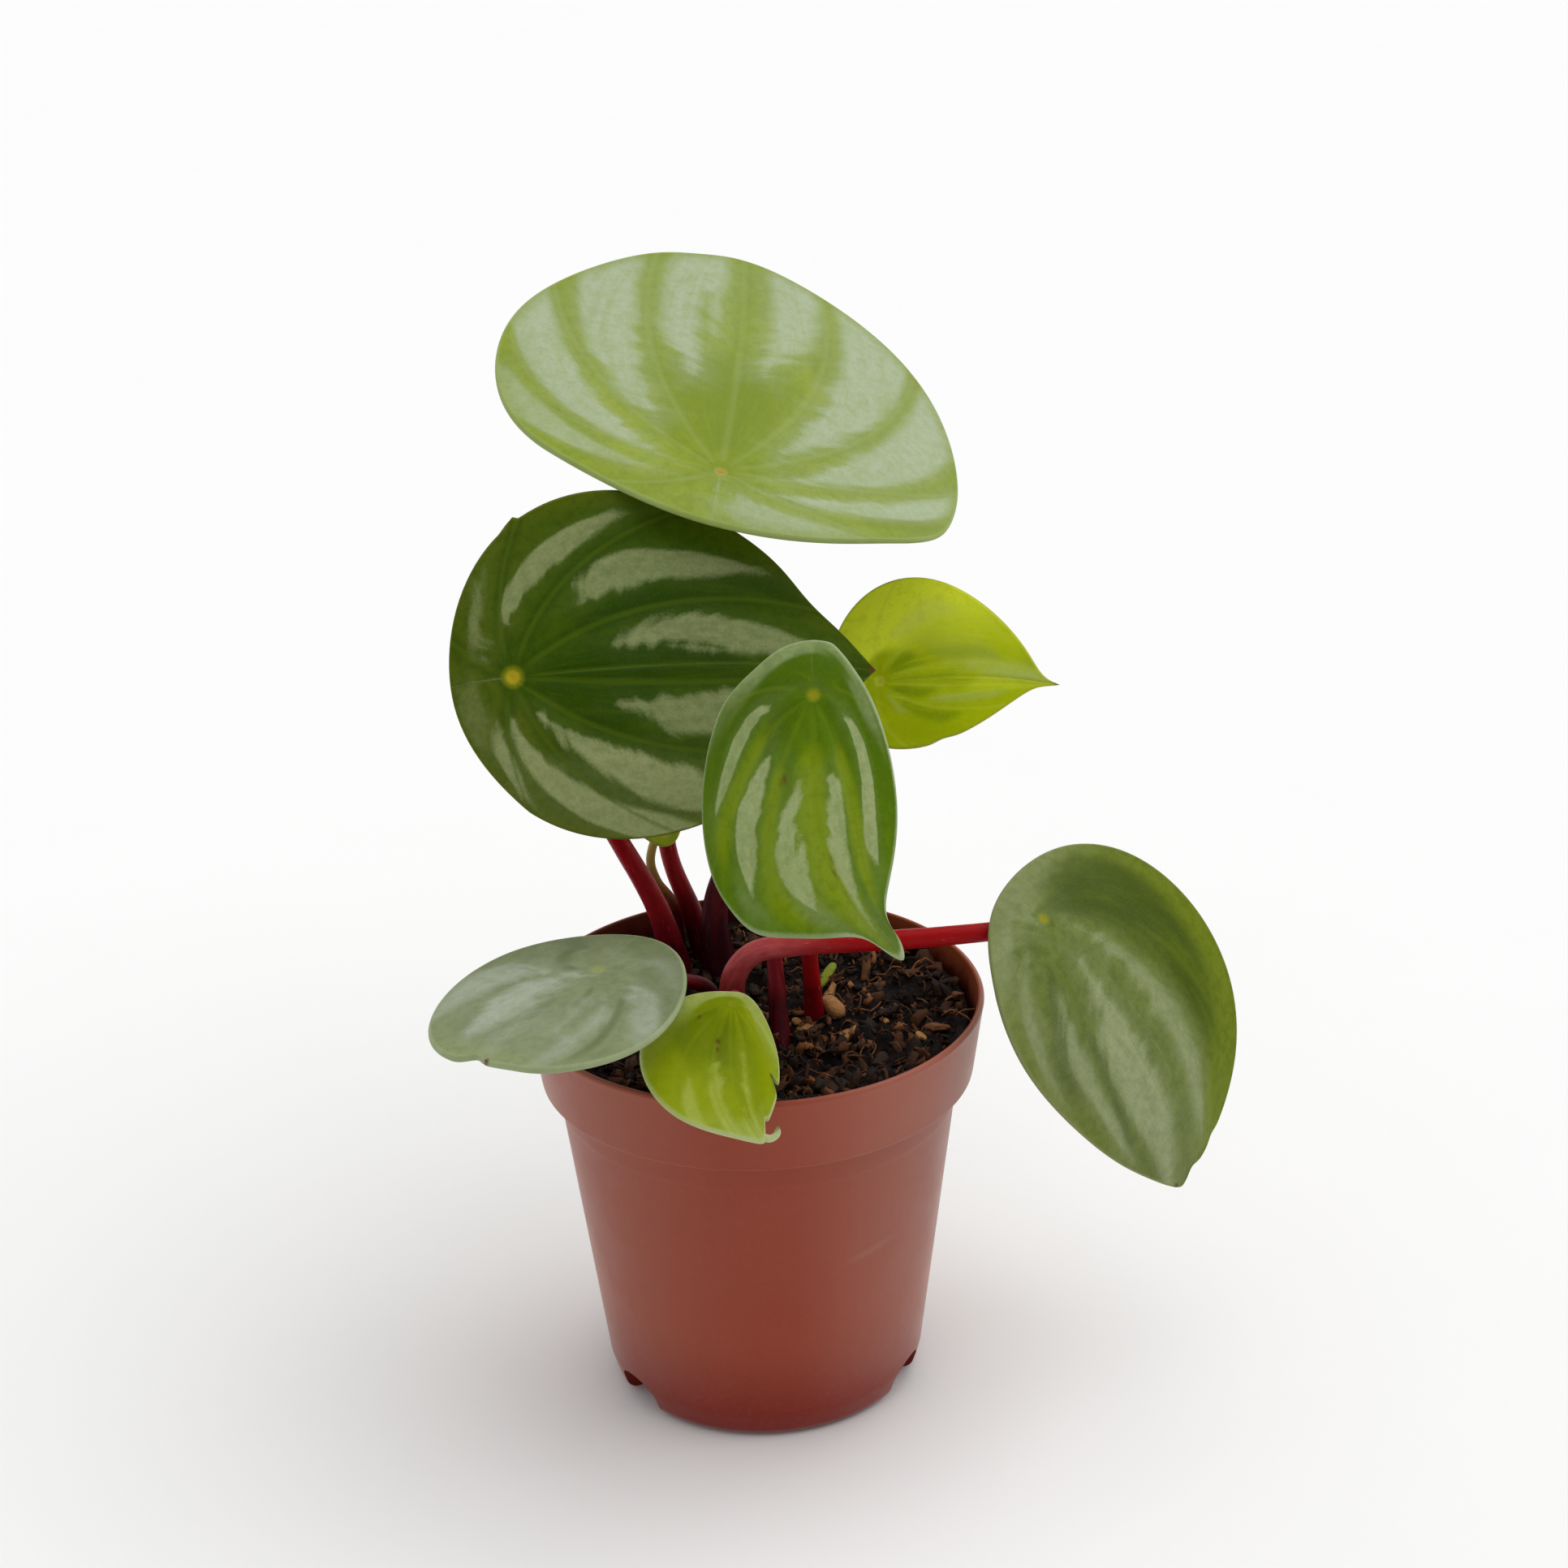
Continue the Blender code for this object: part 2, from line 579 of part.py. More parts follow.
def petiole_line(spec):
    """Foot in the soil, direction there, the path upward and the radii along it."""
    fx, fy = spec["foot"]
    foot = Vector((fx, fy, soil_height(fx, fy)))
    first = Vector(spec["via"][0])
    rise = (first - foot).normalized()
    root = foot - rise * BURIED
    points = [foot] + [Vector(p) for p in spec["via"]]
    end_normal = None
    if spec["leaf"]:
        leaf = LEAVES[spec["leaf"]]
        frame = leaf_frame(leaf)
        end_normal = blade_normal(leaf, frame, 0.0, 0.0, 0.0)
        seat = frame[1] - end_normal * (BLADE / 2.0 + GAP + 0.06)
        points.append(seat - end_normal * spec.get("lead", 1.6))
        points.append(seat)
    path = spline(points, 3)
    path = [root] + path
    low, high = spec["radius"]
    radii = [low + (high - low) * k / (len(path) - 1) for k in range(len(path))]
    if spec["leaf"]:
        radii[-1] *= 1.25
        radii[-2] *= 1.1
    return foot, rise, path, radii, end_normal


def build_petioles(soil):
    red = make_material("petiole_red", PETIOLE_RED, 0.4)
    for name, spec in PETIOLES.items():
        foot, rise, path, radii, end_normal = petiole_line(spec)
        obj = tube(name, path, radii, PETIOLE_SIDES, red, end_normal)
        smooth(obj, 60.0)
        hole = [foot - rise * (BURIED + HOLE_CLEARANCE), foot + rise * 3.0]
        width = (radii[0] + HOLE_CLEARANCE) / math.cos(math.pi / 12.0)
        boolean(soil, tube("hole_" + name, hole, (width, width), 12))


def build_plant():
    clear_scene()
    root = bpy.data.objects.new("potted_peperomia", None)
    bpy.context.scene.collection.objects.link(root)
    build_pot()
    soil, relief = build_soil()
    boolean(soil, relief, "INTERSECT")
    for azimuth in ARCH_AZIMUTHS:
        boolean(soil, arch_cutter("soil_arch", azimuth, WALL + SOIL_GAP, -2.0))
    build_petioles(soil)
    apply_modifiers(soil)
    smooth(soil, 30.0)
    for name, leaf in LEAVES.items():
        build_leaf(name, leaf, LEAF_COLOURS[name])
    for obj in bpy.context.scene.objects:
        if obj.type == "MESH":
            obj.parent = root


build_plant()
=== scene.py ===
"""Looks of the potted watermelon peperomia: finer blades with their veins and silver
bands, petioles that reach the blades, potting soil with bark and fibres, and the
plastic pot's finish.  Lengths are millimetres until mesh_object() turns them into
metres.  Object coordinates and bump distances in the materials are metres."""

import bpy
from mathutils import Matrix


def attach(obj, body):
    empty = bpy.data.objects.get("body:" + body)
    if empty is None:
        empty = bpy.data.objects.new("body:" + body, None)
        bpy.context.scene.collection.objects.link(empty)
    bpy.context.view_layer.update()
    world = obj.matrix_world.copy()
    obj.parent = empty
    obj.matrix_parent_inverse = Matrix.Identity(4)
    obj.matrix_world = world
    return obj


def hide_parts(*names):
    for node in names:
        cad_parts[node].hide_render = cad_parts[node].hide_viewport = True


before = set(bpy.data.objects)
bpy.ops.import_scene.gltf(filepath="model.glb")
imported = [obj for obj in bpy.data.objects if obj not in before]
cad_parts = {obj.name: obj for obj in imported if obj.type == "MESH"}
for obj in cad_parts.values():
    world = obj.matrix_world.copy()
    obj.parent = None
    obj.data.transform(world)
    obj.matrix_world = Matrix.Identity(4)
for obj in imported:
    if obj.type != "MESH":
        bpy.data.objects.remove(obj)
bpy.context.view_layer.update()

import math
import random

import bmesh
import bpy
import numpy as np
from mathutils import Matrix, Vector, noise

MM = 0.001

# blades
BLADE = 0.9                 # thickness
EDGE_ROUND = 0.45           # radius of the rounded margin
VEIN_CURL = 0.7             # how strongly the veins sweep round toward the tip
BLADE_LINES = 216           # mesh lines from the petiole to the margin
BLADE_STEPS = 34            # steps along each of them
MARGIN_STEPS = (0.95, 0.62, 0.42, 0.28, 0.16, 0.07, 0.02, 0.0)   # distances from the margin
HUB_DIMPLE = 0.34           # how deep the upper face is sunk over the petiole
NO_BAND = -6.0              # depth inside a band, far from any

# The blades' shapes, as in the CAD source.  A few lengths are trimmed to the photo's
# outline, and the small nicks, the torn notch and the drawn-in tip are added, which the
# solids leave out.  at: petiole attachment; heading, droop, roll: way the midrib points;
# tipward, baseward: length each side of the attachment; half: half widths left and
# right; point, shift: how far the sides draw in toward the tip, and where the widest
# place lies; drip: drip tip; bend: fall toward the tip and the base; cross: curvature
# across each half; sickle, swing, twist: sideways curve, sweep and turn of the tip;
# wave: margin waves as (height, count, phase); pinch: drawn-in tip; dents: in the
# margin, or out of it where negative, as (tau, share of the way in, width in radians),
# with tau as in flat_point().
LEAVES = {
    "leaf_top": dict(
        at=(-2.4, 17.0, 122.7), heading=83.4, droop=-13, roll=15, tipward=58.2, baseward=10.4,
        half=(32.5, 34.0), point=0.0, shift=(0.02, 0.07), drip=0.3, bend=(3, 13), cross=(-0.007, -0.013),
        sickle=0.02, swing=1.2, twist=2.5, wave=(0.4, 5, 0.6),
        dents=((0.22, 0.012, 0.16), (-2.15, -0.03, 0.22))),
    "leaf_left": dict(
        at=(-29.2, -4.0, 103.6), heading=12.9, droop=0, roll=58, tipward=46.7, baseward=8,
        half=(23.1, 22.0), point=0.65, shift=(-0.09, -0.08), drip=1.2, bend=(10.4, 36),
        cross=(-0.001, -0.018), sickle=-0.058, swing=-1.0, twist=0.2, wave=(0.3, 4, 1.0),
        dents=((0.62, 0.03, 0.22), (2.24, -0.055, 0.028))),
    "leaf_front": dict(
        at=(8.2, -20.0, 106.4), heading=-88.8, droop=54, roll=9, tipward=31.2, baseward=7.9,
        half=(9.7, 15.9), point=0.02, shift=(-0.21, -0.08), drip=2.0, bend=(-1.5, 36),
        cross=(-0.023, -0.038), sickle=-0.048, swing=10.7, twist=6.9, wave=(0.12, 4, 0.0), pinch=0.45,
        dents=((2.45, 0.03, 0.2), (2.84, -0.04, 0.12), (-2.6, 0.08, 0.24), (-0.62, -0.03, 0.16),
               (-0.24, 0.03, 0.1))),
    "leaf_back": dict(
        at=(18.1, 24.0, 90.2), heading=-2, droop=-2.8, roll=56.6, tipward=22.2, baseward=6.9,
        half=(14.1, 9.4), point=0.84, shift=(-0.14, 0.03), drip=2.0, bend=(5, 10.4),
        cross=(-0.001, -0.01), sickle=0.012, swing=-2.1, twist=1.4, wave=(0.15, 5, 0.4),
        dents=((-1.53, 0.03, 0.1),)),
    "leaf_right": dict(
        at=(37.3, -8.0, 69.4), heading=-12.3, droop=37.7, roll=28, tipward=45.3, baseward=6.5,
        half=(19.2, 17.4), point=0.32, shift=(0.07, 0.07), drip=0.6, bend=(49.3, 23),
        cross=(-0.005, -0.026), sickle=-0.09, swing=-2.6, twist=15.4, wave=(0.25, 5, 2.0),
        dents=((0.18, 0.024, 0.08), (0.44, 0.012, 0.05))),
    "leaf_low_left": dict(
        at=(-19.7, -18.0, 69.0), heading=-119.5, droop=2.7, roll=2, tipward=24.8, baseward=10.2,
        half=(15.0, 15.8), point=-0.18, shift=(-0.05, -0.05), drip=-0.6, bend=(3.7, 2.5),
        cross=(-0.004, -0.004), sickle=-0.01, swing=0.3, twist=2.4, wave=(0.3, 3, 0.5),
        dents=((-0.16, 0.05, 0.08),)),
    "leaf_low_front": dict(
        at=(-2.9, -21.0, 65.2), heading=-94, droop=25, roll=-6.3, tipward=18.8, baseward=2.2,
        half=(6.2, 11.3), point=0.11, shift=(-0.22, -0.01), drip=0.2, bend=(19.7, 8.3),
        cross=(-0.031, -0.009), sickle=0.027, swing=3.9, twist=1.6, wave=(0.2, 5, 1.0),
        dents=((1.22, 0.19, 0.045), (0.62, 0.05, 0.1))),
    "leaf_young": dict(
        at=(-11.4, 15.3, 72.8), heading=174, droop=-68, roll=-60, tipward=47, baseward=2.0,
        half=(5.6, 5.6), point=0.5, shift=(0.0, 0.0), drip=1.0, bend=(-4, 10), cross=(0.035, 0.035),
        sickle=0.0, swing=0.0, twist=0, wave=(0.1, 5, 1.0)),
}

# path of the low front blade's hooked tip: flat u, v and lift
CURL = ((17.0, 2.8, -0.1), (18.0, 4.1, 0.0), (18.2, 5.2, 0.3), (17.6, 6.0, 0.7), (16.8, 5.9, 1.1))
CURL_SIDES = 14
CURL_STEPS = 6              # along each span of the path

# The blades' markings.  Angles are degrees round the petiole from the tip, positive to
# the left, as the veins leave it; rho is the share of the way to the margin.
# mottle: strength of the dark mottling.  fade: how far from the margin the silver pales,
# in mm.  quilt: how far the blade swells between veins.  ragged, soft: how far, in mm,
# the bands' edges wander and blur.  haze: how much of their bloom lies around them.
# veins: their angles.  bands: silver bands as (strength, ((rho, angle, half width),
# ...)); gaps: green bands laid over them.  pale, warm, deep: hazier, yellower and darker
# patches as (angle at the inner end, at the outer end, half width, from rho, to rho,
# strength).  vein_power, vein_shade: paleness of the veins and darkness beside them.
# vein_width, rim_width, spot_size: in mm.  scars: dry points as (rho, tau, mm).
PLAIN_LOOK = dict(mottle=0.42, fade=0.6, vein_shade=0.0, gaps=(), pale=(), warm=(), scars=())
LOOKS = {
    "leaf_top": dict(
        green=(0.235, 0.305, 0.012), warm_green=(0.27, 0.34, 0.012), deep_green=(0.16, 0.225, 0.006),
        silver=(0.39, 0.455, 0.305), rim=(0.3, 0.38, 0.12), spot=(0.4, 0.27, 0.03),
        vein=(0.31, 0.385, 0.12), mottle=0.5, fade=3.4, quilt=0.14, ragged=1.15, soft=2.0, haze=0.36,
        vein_width=0.8, vein_power=0.22, vein_shade=0.3, rim_width=0.5, spot_size=0.6, gloss=0.12,
        veins=(0, 58, 97, 133, 165, -52, -92, -126, -157),
        bands=(
            (0.7, ((0.5, 155, 1), (0.65, 149, 6), (0.8, 142, 10), (0.93, 137, 9), (1.05, 135, 6))),
            (1.0, ((0.35, 127, 2), (0.45, 125, 8), (0.55, 121, 11), (0.7, 115, 12), (0.85, 111, 11),
              (1.0, 107, 8))),
            (1.0, ((0.31, 83, 2), (0.42, 82, 10), (0.55, 80, 13), (0.75, 77, 14), (1.05, 75, 12))),
            (1.0, ((0.41, 33, 3), (0.5, 34, 9), (0.6, 34, 15), (0.72, 33, 19), (1.05, 30, 20))),
            (1.0, ((0.47, -18, 2), (0.57, -22, 7), (0.65, -27, 10), (0.75, -31, 14), (1.05, -36, 18))),
            (1.0, ((0.23, -78, 2), (0.35, -76, 10), (0.45, -75, 13), (0.8, -75, 15), (1.05, -74, 16))),
            (1.0, ((0.26, -124, 2), (0.38, -119, 7), (0.5, -113, 12), (0.7, -109, 12), (1.05, -105, 10))),
            (1.0, ((0.41, -152, 2), (0.55, -147, 7), (0.7, -141, 8), (0.85, -135, 7), (0.98, -130, 4))),
            (0.8, ((0.48, -172, 3), (0.7, -170, 8), (0.9, -168, 9), (1.05, -166, 7)))),
        gaps=((0.7, ((0.46, 21, 1), (0.56, 23, 4), (0.66, 24, 3), (0.78, 25, 1))),),
        pale=((-160, -160, 40, 0.55, 1.2, 0.12),),
        warm=((105, 125, 40, 0.15, 0.6, 0.8), (-50, -50, 10, 0.25, 0.6, 0.8)),
        deep=((0, 0, 60, 0.08, 0.5, 0.9), (85, 85, 30, 0.15, 0.35, 0.6), (-145, -142, 7, 0.8, 1.0, 0.9),
              (-100, -100, 30, 0.05, 0.3, 0.4))),
    "leaf_left": dict(
        green=(0.045, 0.088, 0.001), warm_green=(0.082, 0.112, 0.004), deep_green=(0.017, 0.046, 0.0003),
        silver=(0.295, 0.33, 0.145), rim=(0.11, 0.125, 0.012), spot=(0.36, 0.3, 0.01),
        vein=(0.07, 0.115, 0.004), quilt=0.16, ragged=0.8, soft=0.95, haze=0.06, vein_width=0.7,
        vein_power=0.5, vein_shade=0.5, rim_width=0.35, spot_size=0.95, gloss=0.04,
        veins=(0, 70, 112, 147, 172, -35, -87, -124, -153),
        bands=(
            (0.55, ((0.52, 166, 1), (0.62, 165, 5), (0.7, 163, 6), (0.82, 158, 2))),
            (0.78, ((0.39, 143, 1), (0.47, 139, 8), (0.6, 133, 10), (0.72, 128, 9), (0.87, 121, 2))),
            (0.75, ((0.41, 92, 1), (0.49, 96, 9), (0.6, 97, 11), (0.7, 94, 11), (0.8, 90, 7),
              (0.92, 86, 1))),
            (0.75, ((0.33, 44, 2), (0.42, 48, 10), (0.5, 45, 15), (0.58, 43, 19), (0.68, 40, 19),
              (0.8, 34, 16), (0.92, 30, 4))),
            (0.75, ((0.36, -61, 1), (0.45, -59, 7), (0.5, -61, 11), (0.58, -62, 16), (0.75, -60, 16),
              (0.92, -58, 4))),
            (1.0, ((0.24, -112, 1), (0.35, -107, 5), (0.45, -105, 9), (0.6, -105, 10), (0.75, -106, 10),
              (0.88, -110, 6), (0.96, -112, 1))),
            (1.0, ((0.38, -147, 1), (0.5, -142, 7), (0.6, -139, 9), (0.75, -134, 10), (0.9, -128, 9),
              (1.02, -124, 5))),
            (0.85, ((0.56, -158, 1), (0.65, -157, 4), (0.78, -156, 5), (0.9, -153, 2)))),
        gaps=((0.8, ((0.44, 37, 1), (0.52, 36, 2), (0.6, 30, 1))),),
        pale=((-173, -171, 8, 0.58, 0.92, 0.4), (-135, -120, 40, 0.5, 1.05, 0.22)),
        warm=((180, 180, 50, 0.25, 1.2, 0.8), (-110, -110, 50, 0.92, 1.2, 0.8),
              (100, 100, 60, 0.92, 1.2, 0.8), (-130, -130, 20, 0.08, 0.45, 0.6)),
        deep=((10, 20, 50, 0.06, 0.62, 0.9), (-50, -60, 40, 0.06, 0.45, 0.7),
              (74, 76, 10, 0.28, 1.0, 0.8), (-86, -86, 8, 0.3, 0.9, 0.5), (0, 0, 20, 0.55, 0.95, 0.6)),
        scars=((0.995, -0.05, 0.8),)),
    "leaf_front": dict(
        green=(0.09, 0.172, 0.002), warm_green=(0.22, 0.3, 0.0005), deep_green=(0.056, 0.112, 0.001),
        silver=(0.35, 0.41, 0.185), rim=(0.34, 0.415, 0.23), spot=(0.27, 0.27, 0.008),
        vein=(0.165, 0.225, 0.008), quilt=0.14, ragged=0.45, soft=0.45, haze=0.12, vein_width=0.6,
        vein_power=0.3, rim_width=0.5, spot_size=0.6, gloss=0.05, veins=(-4, 60, 140, -56, -101, -146),
        bands=(
            (1.0, ((0.41, 113, 2), (0.5, 109, 11), (0.56, 104, 15), (0.63, 95, 19), (0.7, 87, 16),
              (0.76, 81, 11), (0.83, 82, 5), (0.88, 83, 1))),
            (1.0, ((0.36, 33, 3), (0.41, 34, 14), (0.5, 31, 15), (0.6, 22, 18), (0.7, 17, 16),
              (0.77, 12, 10), (0.84, 4, 5), (0.91, 0, 1))),
            (1.0, ((0.36, -25, 2), (0.45, -30, 7), (0.52, -37, 8), (0.62, -39, 9), (0.75, -38, 10),
              (0.82, -39, 7), (0.88, -40, 1))),
            (1.0, ((0.58, -24, 1), (0.64, -26, 4), (0.71, -30, 4))),
            (1.0, ((0.37, -78, 2), (0.45, -78, 8), (0.55, -79, 11), (0.66, -79, 12), (0.75, -76, 11),
              (0.8, -74, 7), (0.86, -71, 1))),
            (0.9, ((0.42, -127, 2), (0.5, -127, 7), (0.6, -122, 10), (0.68, -118, 9), (0.76, -114, 6),
              (0.84, -111, 2)))),
        pale=((140, 138, 10, 0.7, 0.92, 0.45), (-168, -160, 22, 0.7, 1.1, 0.55),
              (160, 160, 18, 0.82, 1.1, 0.45), (20, 0, 50, 0.86, 1.1, 0.12), (-40, -42, 8, 0.84, 0.97, 0.22),
              (-76, -72, 8, 0.87, 0.95, 0.2)),
        warm=((-6, -6, 26, 0.22, 0.95, 1.0), (-101, -98, 9, 0.32, 0.9, 0.8), (62, 58, 14, 0.3, 0.92, 0.9),
              (-56, -54, 9, 0.35, 0.95, 0.8)),
        deep=((180, 180, 60, 0.15, 0.85, 0.7), (-95, -95, 22, 0.1, 0.4, 0.8),
              (100, 95, 20, 0.1, 0.42, 0.6), (-142, -140, 12, 0.3, 0.95, 0.6), (30, 30, 40, 0.85, 1.1, 0.5)),
        scars=((0.384, -0.69, 0.5), (0.66, -0.02, 0.35), (0.64, 0.02, 0.25), (0.7, -0.03, 0.2))),
    "leaf_back": dict(
        # partly its own yellow-green, partly painted light: the greens are painted bright for light it takes
        # in from behind, and the warm patches also against the shadow of leaf_left
        green=(0.385, 0.465, 0.001), warm_green=(0.74, 0.82, 0.04), deep_green=(0.18, 0.265, 0.001),
        silver=(0.43, 0.51, 0.23), rim=(0.4, 0.43, 0.04), spot=(0.44, 0.48, 0.03),
        vein=(0.47, 0.54, 0.05), mottle=0.12, quilt=0.07, ragged=0.7, soft=1.2, haze=0.05, vein_width=0.6,
        vein_power=0.25, rim_width=0.3, spot_size=0.5, gloss=0.04, veins=(0, 45, 90, 135, -45, -90, -135),
        bands=(
            (0.5, ((0.64, 33, 4), (0.75, 26, 17), (0.86, 22, 22), (1.02, 18, 26))),),
        pale=((-75, -70, 9, 0.48, 0.86, 0.35), (108, 105, 10, 0.42, 0.85, 0.3),
              (-106, -112, 5, 0.2, 0.5, 0.3), (60, 50, 30, 0.45, 0.8, 0.15)),
        warm=((140, 130, 52, 0.3, 1.2, 1.0), (-30, -30, 30, 0.6, 1.1, 0.4)),
        deep=((68, 68, 20, 0.12, 0.34, 0.9), (-70, -66, 18, 0.14, 0.42, 0.9), (0, 0, 30, 0.12, 0.45, 0.6),
              (-98, -102, 8, 0.32, 0.8, 0.8), (62, 56, 8, 0.4, 0.8, 0.4)),
        scars=((1.0, 0.1, 0.3),)),
    "leaf_right": dict(
        green=(0.135, 0.178, 0.025), warm_green=(0.15, 0.2, 0.001), deep_green=(0.044, 0.072, 0.001),
        silver=(0.32, 0.36, 0.19), rim=(0.25, 0.275, 0.11), spot=(0.27, 0.27, 0.012),
        vein=(0.18, 0.215, 0.06), mottle=0.36, quilt=0.06, ragged=1.2, soft=2.1, haze=0.38,
        vein_width=0.8, vein_power=0.0, rim_width=0.45, spot_size=0.6, gloss=0.1,
        veins=(75, 115, 150, -20, -90, -119, -150),
        bands=(
            (1.0, ((0.18, -45, 6), (0.35, -50, 17), (0.5, -57, 25), (0.65, -58, 28), (0.8, -56, 24),
              (0.92, -52, 16), (1.02, -48, 8))),
            (0.75, ((0.14, 70, 3), (0.3, 60, 8), (0.45, 53, 12), (0.6, 46, 15), (0.74, 42, 15),
              (0.84, 40, 9), (0.9, 40, 2))),
            (0.85, ((0.43, -108, 2), (0.6, -106, 7), (0.75, -104, 9), (0.85, -97, 7), (0.95, -90, 3))),
            (0.65, ((0.45, -141, 2), (0.65, -139, 6), (0.8, -134, 7), (0.92, -126, 4))),
            (0.6, ((0.22, -165, 5), (0.5, -163, 9), (0.8, -160, 9), (1.0, -158, 7)))),
        pale=((178, 172, 16, 0.25, 1.05, 0.4), (-150, -150, 50, 0.6, 1.05, 0.25)),
        warm=((115, 105, 45, 0.62, 1.2, 1.0), (80, 75, 12, 0.15, 0.55, 0.3), (70, 50, 26, 0.8, 1.2, 0.9),
              (-150, -100, 26, 0.84, 1.2, 0.6)),
        deep=((125, 122, 36, 0.1, 0.85, 0.65), (118, 118, 62, 0.15, 0.8, 0.3),
              (82, 78, 12, 0.6, 0.84, 0.5), (-88, -88, 5, 0.5, 0.92, 0.8), (-112, -118, 6, 0.32, 0.88, 0.8),
              (0, -10, 10, 0.6, 0.95, 0.3)),
        scars=((0.99, -0.19, 0.45),)),
    "leaf_low_left": dict(
        # partly its own silvering, partly painted reflection: the greens are greyed for the broad sheen of
        # the pale surroundings
        green=(0.216, 0.251, 0.124), warm_green=(0.23, 0.275, 0.102), deep_green=(0.112, 0.148, 0.054),
        silver=(0.372, 0.405, 0.318), rim=(0.33, 0.39, 0.21), spot=(0.285, 0.325, 0.12),
        vein=(0.23, 0.275, 0.12), quilt=0.1, ragged=1.5, soft=2.0, haze=0.3, vein_width=0.7,
        vein_power=0.08, vein_shade=0.1, rim_width=0.45, spot_size=0.8, gloss=0.12,
        veins=(0, 45, 85, 130, 165, -35, -85, -130, -165),
        bands=(
            (1.0, ((0.13, -60, 8), (0.3, -58, 24), (0.45, -55, 32), (0.6, -52, 26), (0.72, -50, 14),
              (0.82, -50, 4))),
            (0.8, ((0.43, 110, 3), (0.55, 108, 12), (0.7, 108, 14), (0.85, 108, 11), (0.97, 110, 5))),
            (0.7, ((0.38, 65, 3), (0.55, 62, 12), (0.7, 48, 14), (0.85, 42, 12), (0.97, 40, 6))),
            (0.7, ((0.33, 30, 2), (0.45, 28, 8), (0.55, 24, 6), (0.64, 22, 2))),
            (0.6, ((0.48, -18, 2), (0.6, -14, 7), (0.75, -14, 8), (0.9, -16, 4))),
            (0.8, ((0.38, -98, 4), (0.6, -106, 14), (0.8, -110, 18), (0.97, -108, 14))),
            (0.6, ((0.5, 152, 3), (0.7, 148, 8), (0.92, 142, 8)))),
        warm=((-40, -40, 50, 0.85, 1.2, 0.9), (20, 20, 40, 0.88, 1.2, 0.7)),
        deep=((88, 66, 6, 0.45, 0.92, 1.0), (35, 22, 8, 0.2, 0.38, 0.9), (-95, -152, 8, 0.15, 0.62, 1.0),
              (-152, -158, 6, 0.55, 0.92, 0.9), (-8, -12, 6, 0.38, 0.55, 0.8), (-62, -62, 8, 0.68, 0.9, 0.5),
              (170, 160, 14, 0.45, 0.9, 0.5)),
        scars=((0.99, -0.05, 0.4),)),
    "leaf_low_front": dict(
        green=(0.255, 0.325, 0.0005), warm_green=(0.34, 0.41, 0.001), deep_green=(0.135, 0.19, 0.0005),
        silver=(0.43, 0.5, 0.085), rim=(0.47, 0.53, 0.24), spot=(0.3, 0.34, 0.01),
        vein=(0.28, 0.335, 0.01), mottle=0.25, quilt=0.08, ragged=0.6, soft=0.7, haze=0.15,
        vein_width=0.5, vein_power=0.3, rim_width=0.5, spot_size=0.4, gloss=0.03,
        veins=(0, 50, 100, -35, -80, -120),
        bands=(
            (0.8, ((0.45, 40, 2), (0.6, 36, 6), (0.8, 34, 7), (0.95, 34, 4))),
            (0.9, ((0.52, -30, 2), (0.65, -32, 7), (0.82, -34, 8), (1.0, -36, 6))),
            (0.9, ((0.72, -66, 2), (0.82, -66, 7), (0.92, -66, 8), (1.02, -66, 5))),
            (0.7, ((0.8, 8, 3), (0.9, 2, 14), (1.04, 0, 24))),
            (0.8, ((0.45, 142, 3), (0.65, 132, 6), (0.85, 127, 5), (1.0, 125, 3)))),
        pale=((180, 180, 55, 0.48, 1.2, 0.95), (10, 10, 60, 0.88, 1.2, 0.5)),
        warm=((-60, -60, 70, 0.65, 1.2, 0.6), (120, 120, 40, 0.3, 1.1, 0.7)),
        deep=((-25, -25, 40, 0.14, 0.5, 0.9), (-95, -95, 28, 0.15, 0.6, 0.7)),
        scars=((0.362, -1.72, 0.3), (0.33, -0.5, 0.4), (0.4, -0.45, 0.3))),
    "leaf_young": dict(
        green=(0.34, 0.42, 0.02), warm_green=(0.38, 0.44, 0.03), deep_green=(0.22, 0.3, 0.01),
        silver=(0.4, 0.46, 0.18), rim=(0.4, 0.46, 0.08), spot=(0.4, 0.44, 0.06), vein=(0.38, 0.43, 0.06),
        mottle=0.3, quilt=0.1, ragged=0.4, soft=0.6, haze=0.1, vein_width=0.3, vein_power=0.3,
        rim_width=0.3, spot_size=0.5, gloss=0.05, veins=(0, 50, 95, -50, -95),
        bands=(
            (0.7, ((0.25, 28, 3), (0.5, 26, 9), (0.9, 24, 4))),
            (0.7, ((0.25, -28, 3), (0.5, -26, 9), (0.9, -24, 4))),
            (0.7, ((0.25, 74, 3), (0.5, 71, 9), (0.9, 68, 4))),
            (0.7, ((0.25, -74, 3), (0.5, -71, 9), (0.9, -68, 4)))),
        deep=((0, 0, 20, 0.05, 0.4, 0.5),)),
}
